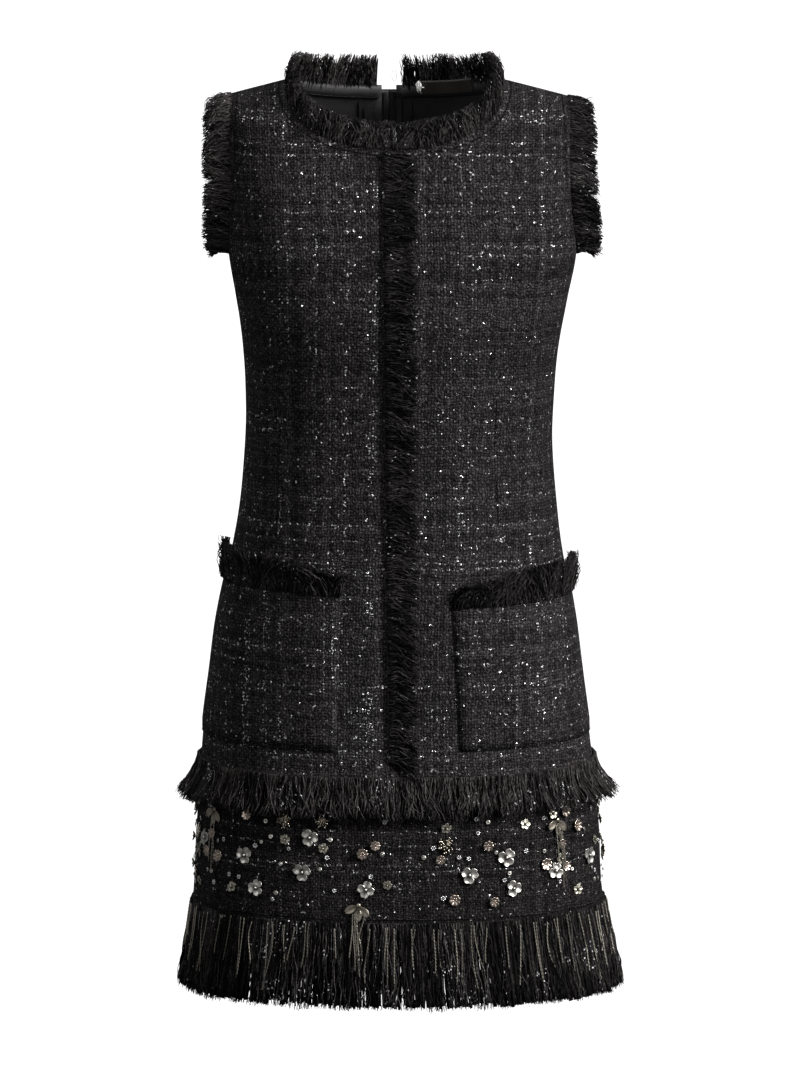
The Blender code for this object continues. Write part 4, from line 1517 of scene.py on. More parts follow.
FLOWERS = (
    Trim(-68, -714, 8.0, 12), Trim(-46.5, -722, 8.5, 40), Trim(-42, -752, 8.0, 65), Trim(-25, -700, 8.5, 8),
    Trim(-27, -733, 9.0, 30), Trim(-9, -748, 8.5, 74), Trim(20, -735, 8.5, 20), Trim(31, -720, 9.0, 52),
    Trim(33, -750, 8.0, 5), Trim(48, -738, 8.0, 80), Trim(66, -730, 8.5, 33), Trim(-112, -720, 8.5, 25),
    Trim(-131, -748, 8.0, 60), Trim(-149, -716, 8.5, 10), Trim(-168, -741, 8.5, 45), Trim(171, -712, 8.0, 70),
    Trim(152, -744, 8.5, 15), Trim(133, -718, 8.5, 55), Trim(113, -746, 8.0, 35),
)
SPRAYS = (Trim(-62, -684, 9), Trim(-11, -763, 9), Trim(50, -690, 9), Trim(160, -688, 9), Trim(-140, -757, 9))


# Sub-assemblies.


@dataclass
class Workroom:
    """What every sub-assembly shares: the form, the finishes, the panels' cuts and the source of chance."""

    form: DressForm
    wardrobe: Wardrobe
    seed: int = 20

    def __post_init__(self) -> None:
        """Makes the cuts, the source of chance and the bundle of loose silver threads."""
        self.cuts = {(face, side): PanelCut(self.form, face, side) for face in Face for side in Side}
        self.rng = np.random.default_rng(self.seed)
        self.silver = Yarns()


@dataclass
class SubAssembly:
    """A group of pieces that is made from what the workroom holds."""

    room: Workroom

    def __post_init__(self) -> None:
        """Takes what the workroom holds by its short names."""
        self.form, self.wardrobe, self.cuts = self.room.form, self.room.wardrobe, self.room.cuts
        self.rng, self.silver = self.room.rng, self.room.silver

    def panel_points(self, cut: PanelCut, row: Array, share: Array, out: float = 0.0) -> tuple[Array, Array]:
        """A panel's points and their places on the flat cloth.

        Args:
            cut: The panel's cut.
            row: Row numbers.
            share: Shares of the way from the centre to the side.
            out: How far off the middle of the cloth, in millimetres.

        Returns:
            Points in millimetres and their flat map in metres, as rows by shares.
        """
        angle, height = cut.grid(row, share)
        middle = self.form.point(angle, height)
        lift = relief(middle, cut.face)
        points = middle + self.form.outwards(angle, height) * (lift + out)[..., None]
        return points, self.form.cloth_map(angle, height, cut.face, cut.side)

    def frame_on(self, trim: Trim, out: float, tilt: float = 0.0) -> tuple[Array, Array]:
        """Where a trim sits on the dress.

        Args:
            trim: Its place and turn.
            out: How far off the middle of the cloth, in millimetres.
            tilt: How far it may lean any way, in degrees.

        Returns:
            Its middle, and its axes with +Z out of the cloth.
        """
        out_of = self.form.outwards(trim.angle, trim.height)
        lean = self.rng.normal(0, math.tan(math.radians(tilt)) / 2, 3)
        z = unit(out_of + lean)
        x = unit(np.cross([0, 0, 1.0], z))
        y = np.cross(z, x)
        turn = math.radians(trim.turn)
        axes = np.stack([x * math.cos(turn) + y * math.sin(turn), y * math.cos(turn) - x * math.sin(turn), z])
        return self.form.skin(trim.angle, trim.height, out), axes


@dataclass
class Panels(SubAssembly):
    """The fronts and backs, lined inside."""

    columns: int = 37
    turned: float = 8.5

    def edge_ways(self, cut: PanelCut, points: Array) -> Array:
        """How far each point lies from a turned edge; a seam or dart counts as a groove of its own, which the
        tweed darkens as painted shade.

        Args:
            cut: The panel's cut.
            points: Its grid of points.

        Returns:
            Millimetres, one for each point.
        """
        neck, armhole = cut.corner * ROW_STEPS, len(PANEL_ROWS) * ROW_STEPS
        centre, side = points[: neck + 1, 0], points[: armhole + 1, -1]
        edge = np.minimum(way_to(points, points[neck:, 0]), way_to(points, points[armhole:, -1]))
        if cut.name == "front_left":
            edge, seams = np.minimum(edge, way_to(points, centre)), [side]
        else:
            seams = [side, centre]
        for seam in seams:
            edge = np.minimum(edge, self.turned + 0.7 * way_to(points, seam))
        for dart in (crease for crease in CREASES if crease.sewn and crease.face is cut.face):
            edge = np.minimum(edge, self.turned + 0.6 * dart.near(points[..., 0], points[..., 2])[1])
        return edge

    def build(self) -> None:
        """Lays the four panels."""
        share = np.linspace(0, 1, self.columns)
        others = {Face.FRONT: Face.BACK, Face.BACK: Face.FRONT}
        cloth = Cloth(self.wardrobe.tweed, "tweed", TWEED, self.wardrobe.lining)
        for (face, side), cut in self.cuts.items():
            points, flat = self.panel_points(cut, rows_between(), share)
            if face is Face.BACK:
                flat = flat + np.array([1.0, 0.0])
            out = self.form.outwards(*(grid[50, 18] for grid in cut.grid(rows_between(), share)))
            other = f"{others[face].value}_{side.word}"
            lay_cloth(
                f"{cut.name}_cloth", (points, flat, out), cloth, [other], [cut.name],
                self.edge_ways(cut, points),
            )


@dataclass
class Band(SubAssembly):
    """The lower band, front and back."""

    columns: int = 109
    rows: int = 28
    ripple: float = 0.6
    dip: float = 1.2

    def build(self) -> None:
        """Lays both halves, a little pulled in along the hip seam."""
        cloth = Cloth(self.wardrobe.shaded_band_tweed, "tweed", TWEED, self.wardrobe.lining)
        for face, first in HALVES:
            angle = first + np.linspace(0, 180, self.columns)[None]
            height = np.linspace(HEM_SEAM, HIP_SEAM - 0.2, self.rows)[:, None]
            angle, height = np.broadcast_arrays(angle, height)
            dip = -self.dip * np.exp(-(((height - HIP_SEAM + 2) / 5) ** 2))
            wave = np.sin(np.radians(angle) * 11 + 1.4 * np.sin(height / 40))
            lift = self.ripple * wave * np.clip((HIP_SEAM - height) / 60, 0, 1) + dip
            points = self.form.skin(angle, height, lift)
            around = angle - (180 if face is Face.BACK else 0)
            arc = self.form.look_up(self.form.map_round, np.abs(around), height) * np.sign(around)
            flat = np.stack([arc, height], -1) * MM + np.array([0.3 if face is Face.FRONT else 1.9, 0.9])
            out = self.form.outwards(first + 90, -700.0)
            lay_cloth(
                f"band_{face.value}_cloth", (points, flat, out), cloth,
                [f"{face.value}_left", f"{face.value}_right"], [f"band_{face.value}"], height - HEM_SEAM,
            )


@dataclass
class Pockets(SubAssembly):
    """Patch pockets, with pressed edges and mouths a little open."""

    columns: int = 30
    belly: float = 1.6
    press: float = 0.62
    press_width: float = 7.0
    weave_shift: tuple[float, float] = (0.0137, 0.0061)

    def build(self) -> None:
        """Lays both pockets on the fronts."""
        out = TWEED / 2 + LAY_GAP + POCKET_CLOTH / 2
        share = np.linspace(POCKET_FIRST_SHARE, 1, self.columns)
        row = rows_between(1, MOUTH_ROW)
        up = ((row - 1) / (MOUTH_ROW - 1))[:, None]
        cloth = Cloth(self.wardrobe.pocket_tweed, "tweed", POCKET_CLOTH)
        for side in Side:
            cut = self.cuts[Face.FRONT, side]
            points, flat = self.panel_points(cut, row, share, out)
            across = np.clip((share - POCKET_FIRST_SHARE) / (1 - POCKET_FIRST_SHARE), 0, 1)
            belly = self.belly * np.sin(math.pi * across) ** 1.6 * up**2
            sewn = np.minimum(way_to(points, points[0]), way_to(points, points[:, 0]))
            pressed = self.press * np.clip(1 - sewn / self.press_width, 0, 1) ** 1.5
            lift = belly - pressed * POCKET_CLOTH / 2
            points = points + self.form.outwards(*cut.grid(row, share)) * lift[..., None]
            edge = np.min([way_to(points, line) for line in (points[0], points[-1], points[:, 0])], axis=0)
            facing = self.form.outwards(45.0 * side.value, -540.0)
            piece = lay_cloth(
                f"pocket_{side.word}_cloth", (points, flat + self.weave_shift, facing), cloth,
                [f"front_{side.word}"], [f"pocket_{side.word}"], edge,
            )
            group = piece.vertex_groups.new(name="thickness")
            for k, value in enumerate(pressed.ravel()):
                group.add([k], 1 - float(value), "REPLACE")
            piece.modifiers["cloth"].vertex_group = group.name


@dataclass
class Lining(SubAssembly):
    """The back's lining, which shows through the neck."""

    columns: int = 26
    first_share: float = 0.036
    first_row: int = 6

    def build(self) -> None:
        """Hangs both halves inside the back."""
        inside = -(TWEED / 2 + LAY_GAP + LINING_CLOTH / 2)
        share = np.linspace(self.first_share, 1, self.columns)
        cloth = Cloth(self.wardrobe.lining, "lining", LINING_CLOTH)
        for side in Side:
            cut = self.cuts[Face.BACK, side]
            points, flat = self.panel_points(cut, rows_between(self.first_row), share, inside)
            name, out = f"lining_back_{side.word}", self.form.outwards(150.0 * side.value, -200.0)
            lay_cloth(f"{name}_cloth", (points, flat, out), cloth, [f"back_{side.word}"], [name])


@dataclass
class Fringe(SubAssembly):
    """What every length of fringe shares."""

    def clearance(self, angle: Array, height: Array, grow: Array) -> Array:
        """How far a fringe that grows out of an edge starts clear of it."""
        return 1.5 * LAY_GAP + 1.3 * np.abs(np.sum(self.form.outwards(angle, height) * grow, -1))

    def stray_silver(self, place: Place, count: int, length: float) -> None:
        """Adds fine silver threads that work loose from a fringe.

        Args:
            place: Puts points on the fringe.
            count: How many there are.
            length: How far they reach, in millimetres.
        """
        steps = 7
        t = np.linspace(0, 1, steps)[None]
        root = self.rng.uniform(0.01, 0.99, (count, 1)) + 0 * t
        phase = self.rng.uniform(0, FULL_TURN, (2, count, 1))
        beat = self.rng.uniform(1.0, 2.6, (2, count, 1))
        far = length * self.rng.uniform(0.5, 1.12, (count, 1))
        drift = self.rng.normal(0, 3, (count, 1)) * t + 1.5 * t * np.sin(beat[0] * FULL_TURN * t + phase[0])
        off = self.rng.uniform(-0.5, 2.4, (count, 1)) + 1.2 * t * np.sin(beat[1] * FULL_TURN * t + phase[1])
        paths = place(root, STRIP * 0.4 + far * t, drift, off)
        self.silver.add(paths, np.full((1, steps), 0.13), self.rng.uniform(0, 0.6, count))

    def make(
        self, name: str, place: Place, run: float, locks: Locks, stray: tuple[int, float],
        bright: bool = False,
    ) -> None:
        """Makes one length: its heading, its locks and a few loose silver threads.

        Args:
            name: The node that it stands for.
            place: Puts points on the fringe.
            run: How long it is, in millimetres.
            locks: How its yarn hangs.
            stray: How many silver threads work loose, and how far they reach in millimetres.
            bright: Whether its yarn has silver in it.
        """
        yarns = Yarns()
        heading(yarns, self.rng, place, run)
        locks.grow_full(self.rng, place, run, yarns)
        self.stray_silver(place, *stray)
        material = self.wardrobe.bright_yarn if bright else self.wardrobe.yarn
        add_piece(f"{name}_yarn", yarns.mesh(f"{name}_yarn"), material, [name])


@dataclass
class NeckFringe(Fringe):
    """Fringe round the neck: one length in front and two behind, parted at the zip."""

    front: Locks = Locks(
        1100, NECK_FRONT_FRINGE - 4, clump=9, puff=3.4, depth=2.4, lean=0.5, curl=3.8, uneven=0.16
    )
    # Painted light: the back lengths' strands are drawn 3.2 times lighter, as if lit through from behind.
    back: Locks = Locks(
        500, NECK_BACK_FRINGE - 2, clump=8, pull=0.3, puff=2.5, depth=1.8, lean=0.14, curl=2.6, painted_light=3.2
    )

    def neck_line(self, face: Face, side: Side) -> tuple[Array, Array]:
        """Follows the neck's cut edge from the centre to the neck point.

        Args:
            face: Front or back.
            side: Left or right.

        Returns:
            Points on the edge, and the way that the fringe grows at each.
        """
        cut = self.cuts[face, side]
        angle, height = cut.inner(np.linspace(cut.corner, LAST_ROW, 60))
        point = self.form.point(angle, height)
        inwards = unit(np.stack([NECK_MIDDLE - point[:, 0], -point[:, 1], 0 * height], -1))
        grow = unit(np.array([0, 0, 1.0]) + NECK_LEAN * inwards)
        return point + grow * self.clearance(angle, height, grow)[:, None], grow

    def build(self) -> Seamline:
        """Makes the three lengths.

        Returns:
            The line of the right back's fringe, which the label is sewn along.
        """
        middle = np.array([NECK_MIDDLE, 0, 0])
        halves = [self.neck_line(Face.FRONT, side) for side in Side]
        front = Seamline(*(np.concatenate([halves[0][k][::-1], halves[1][k][1:]]) for k in (0, 1)), middle)

        def place_front(share: Array, reach: Array, drift: Array, off: Array) -> Array:
            """Shortens the fringe towards both neck points. It is a Place."""
            past = np.maximum(reach - STRIP, 0) * (1 - 0.3 * np.abs(2 * share - 1) ** 4)
            bend = 0.02 * past**2 * np.abs(2 * share - 1) ** 2
            return front.place(share, np.minimum(reach, STRIP) + past, drift, off - bend)

        self.make("neck_fringe_front", place_front, front.length, self.front, (90, 20))
        for side in Side:
            points, grow = self.neck_line(Face.BACK, side)
            keep = np.abs(points[:, 0] - points[0, 0]) >= BACK_OPENING / 2
            line = Seamline(points[keep], grow[keep], middle)

            def place(share: Array, reach: Array, drift: Array, off: Array, line: Seamline = line) -> Array:
                """Shortens the fringe towards the neck point. It is a Place."""
                past = np.maximum(reach - STRIP, 0) * (1 - 0.35 * share**2)
                drift = np.maximum(drift, -1.5 - share * line.length)
                bend = 0.016 * past**2 * share**3
                return line.place(share, np.minimum(reach, STRIP) + past, drift, off - bend)

            self.make(f"neck_fringe_back_{side.word}", place, line.length, self.back, (45, 34))
        return line


@dataclass
class ArmholeFringe(Fringe):
    """Fringe that stands out sideways round each armhole and hangs a little."""

    # Painted light: the left armhole's strands are drawn lighter, as the key lamp leaves that side in shade,
    # and the right armhole's darker.
    left: Locks = Locks(
        1120, ARMHOLE_FRINGE - 1, pull=0.35, lean=0.34, puff=1.5, depth=2.2, curl=2.9, uneven=0.16, painted_light=2.0
    )
    right: Locks = replace(left, clump=12.0, pull=0.7, painted_light=0.8)
    sag: float = 3.5

    def armhole_line(self, side: Side) -> Seamline:
        """The line round one armhole that the fringe stands on.

        Args:
            side: Left or right.

        Returns:
            The line, from the front's shoulder to the back's.
        """
        points, grows = [], []
        for face in Face:
            cut = self.cuts[face, side]
            angle, height = cut.outer(np.linspace(len(PANEL_ROWS), LAST_ROW, 70))
            point = self.form.point(angle, height)
            middle = between(UNDERARM, cut.shoulder_tip(), 0.55)
            inwards = unit(np.stack([0 * height, -point[:, 1], middle - height], -1))
            grow = unit(np.array([side.value, 0, 0.0]) + ARMHOLE_LEAN * inwards)
            points.append(point + grow * self.clearance(angle, height, grow)[:, None])
            grows.append(grow)
        both = (np.concatenate([halves[0][::-1], halves[1][1:]]) for halves in (points, grows))
        return Seamline(*both, np.array([side.value * 165.0, 0, -90]))

    def build(self) -> None:
        """Makes both sides."""
        for side in Side:
            line = self.armhole_line(side)

            def place(share: Array, reach: Array, drift: Array, off: Array, line: Seamline = line) -> Array:
                """Lets the fringe sag, and shortens it under the arm and at the shoulder. It is a Place."""
                under = np.exp(-(((share - 0.5) / 0.06) ** 2))
                ends = 0.5 * under + 0.3 * np.abs(2 * share - 1) ** 12
                past = np.maximum(reach - STRIP, 0)
                points = line.place(share, np.minimum(reach, STRIP) + past * (1 - ends), drift, off)
                points[..., 2] -= (self.sag + 5 * under) * (past / ARMHOLE_FRINGE) ** 1.6
                return points

            locks = self.left if side is Side.LEFT else self.right
            self.make(f"armhole_fringe_{side.word}", place, line.length, locks, (50, 22))


@dataclass
class PlacketFringe(Fringe):
    """Fringe along the placket's edge, which lies over the right front."""

    top: float = -58.0
    bottom: float = -628.0
    # Painted shade: the placket fringe's tone is scaled to 0.75.
    locks: Locks = Locks(
        1300, PLACKET_FRINGE - 3, clump=10, pull=0.5, lean=0.5, puff=2.4, depth=1.9, curl=3.8, uneven=0.16,
        painted_light=0.75,
    )

    def place(self, share: Array, reach: Array, drift: Array, off: Array) -> Array:
        """Leans the fringe down, the more the lower it hangs. It is a Place."""
        past = np.maximum(reach - STRIP, 0)
        lean = np.radians(between(2, 38, np.clip(share, 0, 1) ** 1.5))
        root = between(self.top, self.bottom, share)
        height = root - past * np.sin(lean) - drift
        x = centre_line(root, Face.FRONT) + np.minimum(reach - STRIP, 0) + past * np.cos(lean)
        flat = TWEED / 2 + 2 * LAY_GAP + FRINGE_CLOTH / 2
        lift = flat + past * between(0.06, 0.16, share**4) + np.maximum(off, -1.2) + 0.4
        angle = self.form.angle_at(x, height, Face.FRONT)
        lift = lift + relief(self.form.point(angle, height), Face.FRONT)
        return self.form.skin(angle, height, lift)

    def build(self) -> None:
        """Makes the fringe."""
        self.make("placket_fringe", self.place, self.top - self.bottom, self.locks, (120, 22))


@dataclass
class PocketFringe(Fringe):
    """Fringe that stands up from each pocket's mouth."""

    run: float = 135.0
    # Painted shade: the pocket fringes' tone is scaled to 0.75.
    locks: Locks = Locks(
        580, POCKET_FRINGE, clump=12, puff=3.5, depth=2.6, lean=0.6, curl=4.2, uneven=0.17, painted_light=0.75
    )

    def build(self) -> None:
        """Makes both lengths."""
        out = TWEED / 2 + 2 * LAY_GAP + POCKET_CLOTH / 2
        for side in Side:
            top = POCKET_TOP[side]
            inner = float(self.form.angle_at(centre_line(top, Face.FRONT), top, Face.FRONT))
            first = between(inner, side.value * 90, POCKET_FIRST_SHARE)

            def place(
                share: Array, reach: Array, drift: Array, off: Array,
                first: float = first, top: float = top, side: Side = side,
            ) -> Array:
                """Leans the fringe off the dress and to the side, low at its inner end. It is a Place."""
                past = np.clip(reach / (STRIP + POCKET_FRINGE), 0, 1.2)
                reach = reach * (1 - 0.42 * past * np.clip(1 - share / 0.45, 0, 1) ** 1.5)
                drift = drift + 5 * past**1.5
                angle = between(first, side.value * 89.7, share) + np.degrees(drift / 150) * side.value
                angle = side.value * np.minimum(np.abs(angle), 92.0)
                off = np.maximum(off * (1 + 0.7 * share**8), -0.9)
                lift = out + 6 * past**1.5 * (1 - 0.75 * share**6) + off + 0.5
                return self.form.skin(angle, top - 3 + reach, lift)

            self.make(f"pocket_fringe_{side.word}", place, self.run, self.locks, (40, 26))


@dataclass
class SkirtFringe(Fringe):
    """Fringe that hangs right round the skirt from a seam, front and back."""

    name: str = "hip_fringe"
    run: float = 500.0
    top: float = HIP_SEAM + STRIP - 1
    flat: float = TWEED / 2 + 1.5 * LAY_GAP + FRINGE_CLOTH / 2 + 0.4
    flare: tuple[float, float] = (8.0, 7.0)
    least_off: float = -0.8
    stray: tuple[int, float] = (90, 26)
    # Painted light: the hip fringe's tone is scaled to 1.25.
    locks: Locks = Locks(
        1150, HIP_FRINGE, steps=8, painted_light=1.25, clump=7, lean=0.26, puff=2.4, depth=2.2, curl=2.6
    )

    def build(self) -> None:
        """Makes both lengths."""
        for face, first in HALVES:

            def place(share: Array, reach: Array, drift: Array, off: Array, first: float = first) -> Array:
                """Hangs the fringe down, and further out near the side seams. It is a Place."""
                angle = first + between(0.15, 179.85, share) + drift / self.run * 180
                past = np.maximum(reach - STRIP, 0) / HIP_FRINGE
                flare = self.flare[0] + self.flare[1] * np.abs(np.sin(np.radians(angle))) ** 4
                lift = self.flat + flare * past**1.4 + np.maximum(off, self.least_off)
                return self.form.skin(angle, self.top - reach, lift)

            self.make(f"{self.name}_{face.value}", place, self.run, self.locks, self.stray, bright=True)


@dataclass
class HipFringe(SkirtFringe):
    """Fringe over the hip seam, which stands off at the sides."""


@dataclass
class HemFringe(SkirtFringe):
    """The long fringe under the band, which follows the flare of the skirt."""

    name: str = "hem_fringe"
    run: float = 520.0
    top: float = HEM_SEAM - 0.4
    flat: float = 0.0
    flare: tuple[float, float] = (0.0, 0.0)
    least_off: float = -99.0
    stray: tuple[int, float] = (130, 74)
    # Painted shade: the hem fringe's tone is halved.
    locks: Locks = Locks(
        1250, HEM_FRINGE, 0.56, steps=10, clump=9, pull=0.1, lean=0.02, curl=3.0, crimp=0.95, puff=1.2,
        depth=2.6, uneven=0.014, painted_light=0.5, lock_tone=0.4, core_tip=0.95, core_width=3.0,
    )


@dataclass
class LooseSilver(SubAssembly):
    """All the silver threads that work loose from the fringes, as one piece."""

    def build(self) -> None:
        """Puts the threads in the scene."""
        name = "loose_silver_threads"
        add_piece(name, self.silver.mesh(name), self.wardrobe.silver)


@dataclass
class BandTrims(SubAssembly):
    """Flowers, leaves, rosettes, bead clusters, sequins and chains, all round the band."""

    out: float = TWEED / 2 + 0.7
    middle: float = -722.0
    reach: float = 40.0
    link: float = 1.7
    chains: int = 76
    flower_radius: float = 8.5

    def __post_init__(self) -> None:
        """Starts with every place free and no chain hung."""
        super().__post_init__()
        self.taken: list[tuple[Array, float]] = []
        self.yarns = Yarns()

    def claim(self, trim: Trim) -> bool:
        """Takes a place on the band.

        Args:
            trim: What is to lie there.

        Returns:
            False where another trim is on it.
        """
        point = self.form.point(trim.angle, trim.height)
        if any(np.linalg.norm(point - other) < 0.92 * (trim.radius + wide) for other, wide in self.taken):
            return False
        self.taken.append((point, trim.radius))
        return True

    def hang_chain(self, angle: float, top: float, length: float, out: float) -> None:
        """Hangs one fine chain, a link wide one way and then the other.

        Args:
            angle: Degrees round the body.
            top: The height of its top.
            length: Its length in millimetres.
            out: How far off the middle of the cloth, in millimetres.
        """
        steps = 2 * round(length / self.link) + 1
        t = np.linspace(0, 1, steps)
        sway = self.rng.normal(0, 2.8) * t**1.5
        sway = sway + self.rng.normal(0, 1.1) * np.sin(4.0 * t + self.rng.uniform(0, 6))
        path = self.form.skin(angle + np.degrees(sway / 160), top - length * t, out + 1.2 * t * (1 - t))
        k = np.arange(steps) % 4
        wide = np.select([k == 0, k == 2], [1.1, 0.45], 0.5)
        deep = np.select([k == 0, k == 2], [0.45, 1.1], 0.5)
        self.yarns.add(path[None], wide[None], np.array([self.rng.uniform(0, 0.7)]), deep[None])

    def build_large(self) -> None:
        """The large flowers, and the leaf sprays with the chains that hang from them."""
        flowers, leaves = Scatter(), Scatter()
        shapes = {
            petals: Casting().flower(petals, self.flower_radius, width).shape()
            for petals, width in ((3, 0.6), (4, 0.46))
        }
        for k, trim in enumerate(FLOWERS):
            self.claim(trim)
            place = self.frame_on(trim, self.out, 9)
            flowers.add(shapes[4 if k % 6 == 5 else 3], place, trim.radius / self.flower_radius)
        fan = Casting().leaves().shape()
        for trim in SPRAYS:
            self.claim(trim._replace(height=trim.height - 8))
            leaves.add(fan, self.frame_on(trim, self.out + 0.6, 4))
            for _ in range(5):
                shift, length = self.rng.uniform(-4, 4), self.rng.uniform(34, 62)
                angle = trim.angle + math.degrees(shift / 150)
                self.hang_chain(angle, trim.height - 8, length, self.out + 1.6)
        nodes = [f"flower_{k + 1}" for k in range(len(FLOWERS))]
        add_piece("large_flowers", flowers.mesh("large_flowers"), self.wardrobe.pewter, nodes)
        nodes = [f"leaf_spray_{k + 1}" for k in range(len(SPRAYS))]
        add_piece("leaf_sprays", leaves.mesh("leaf_sprays"), self.wardrobe.leaf, nodes)

    def build_small(self) -> None:
        """The small trims, wherever a place is free."""
        rng = self.rng
        small = (
            ("bead_bursts", Casting().burst(8.8, rng), 7.5, 17, self.wardrobe.champagne),
            ("rosettes", Casting().rosette(5.2), 5.4, 25, self.wardrobe.rose),
            ("small_flowers", Casting().flower(5, 5.6, 0.38, 9), 5.4, 30, self.wardrobe.olive),
            ("flakes", Casting().star(2.7), 3.0, 46, self.wardrobe.silver),
            ("sequins", Casting().sequin(2.2), 2.6, 56, self.wardrobe.pewter),
        )
        for name, casting, radius, count, material in small:
            group, tries, shape = Scatter(), 0, casting.shape()
            while count and tries < 4000:
                tries += 1
                height = self.middle + self.reach * rng.uniform(-1, 1)
                trim = Trim(rng.uniform(-180, 180), height, radius, rng.uniform(0, 360))
                if self.claim(trim):
                    group.add(shape, self.frame_on(trim, self.out, 12), rng.uniform(0.85, 1.1))
                    count -= 1
            add_piece(name, group.mesh(name), material)

    def build_chains(self) -> None:
        """The chains along the hem seam, some of them in pairs."""
        rng, count = self.rng, self.chains
        for angle in np.linspace(-180, 180, count, endpoint=False) + rng.uniform(-1.8, 1.8, count):
            length, top = rng.uniform(28, 64), HEM_SEAM + rng.uniform(-3, 2)
            self.hang_chain(angle, top, length, 3.6)
            if rng.uniform() < 0.35:
                self.hang_chain(angle + rng.uniform(0.7, 1.2), top, length * rng.uniform(0.7, 1), 3.8)
        add_piece("fine_chains", self.yarns.mesh("fine_chains"), self.wardrobe.chain)

    def build(self) -> None:
        """Makes all the trims."""
        self.build_large()
        self.build_small()
        self.build_chains()


@dataclass
class Topstitching(SubAssembly):
    """Stitches along the turned edges, the pockets and the band."""

    length: float = 2.7
    gap: float = 0.9
    inset: float = 8.5
    pocket_inset: float = 0.013
    out: float = TWEED / 2 + 0.05

    def __post_init__(self) -> None:
        """Starts with no stitch."""
        super().__post_init__()
        self.yarns = Yarns()

    def sew(self, line: Array) -> None:
        """Adds a row of stitches.

        Args:
            line: Points to sew along, in millimetres.
        """
        steps = np.linalg.norm(np.diff(line, axis=0), axis=1)
        way = np.concatenate([[0], np.cumsum(steps)])
        starts = np.arange(0, way[-1] - self.length, self.length + self.gap)
        places = starts[:, None] + np.linspace(0, self.length, 4)
        paths = np.stack([np.interp(places, way, column) for column in line.T], -1)
        self.yarns.add(paths, np.array([[0.12, 0.24, 0.24, 0.12]]), np.full(len(paths), 0.8))

    def inset_line(self, cut: PanelCut, rows: Array, edge: Array, from_outer: bool) -> Array:
        """The line that runs along a panel's edge, a little way in.

        Args:
            cut: The panel's cut.
            rows: The rows that it crosses.
            edge: The edge's points.
            from_outer: Whether the edge is the panel's outer one.

        Returns:
            The line's points, one a row.
        """
        share = np.linspace(0, 0.45, 46)
        points, _ = self.panel_points(cut, rows, 1 - share if from_outer else share, self.out)
        away = np.maximum.accumulate(way_to(points, edge), axis=1)
        found = [[np.interp(self.inset, way, column) for column in row.T] for way, row in zip(away, points)]
        return np.array(found)

    def edge_line(self, cut: PanelCut, rows: Array, share: float) -> Array:
        """The points of a panel's inner edge, at share 0, or outer one, at share 1."""
        return self.panel_points(cut, rows, np.array([share]), self.out)[0][:, 0]

    def build(self) -> None:
        """Sews every row."""
        for cut in self.cuts.values():
            armhole, neck = rows_between(len(PANEL_ROWS)), rows_between(cut.corner)
            self.sew(self.inset_line(cut, armhole[4:], self.edge_line(cut, armhole, 1), True))
            self.sew(self.inset_line(cut, neck[1:-2], self.edge_line(cut, neck, 0), False))
        cut = self.cuts[Face.FRONT, Side.LEFT]
        placket = rows_between(0, cut.corner)
        self.sew(self.inset_line(cut, placket[:-8], self.edge_line(cut, placket, 0), False))
        over, inner = self.out + LAY_GAP + POCKET_CLOTH + 0.2, POCKET_FIRST_SHARE + self.pocket_inset
        rows = np.concatenate([[1.04], rows_between(1, MOUTH_ROW)[1:-2]])
        for side in Side:
            cut = self.cuts[Face.FRONT, side]
            down = self.panel_points(cut, rows, np.array([inner]), over)[0][::-1, 0]
            along = self.panel_points(cut, rows[:2], np.linspace(inner, 0.99, 40), over)[0][0]
            self.sew(np.concatenate([down, along[1:]]))
        for _, first in HALVES:
            angle = first + np.linspace(1, 179, 120)
            self.sew(self.form.skin(angle, np.full(120, HEM_SEAM + 5.0), self.out + 0.5))
        add_piece("topstitching", self.yarns.mesh("topstitching"), self.wardrobe.thread)


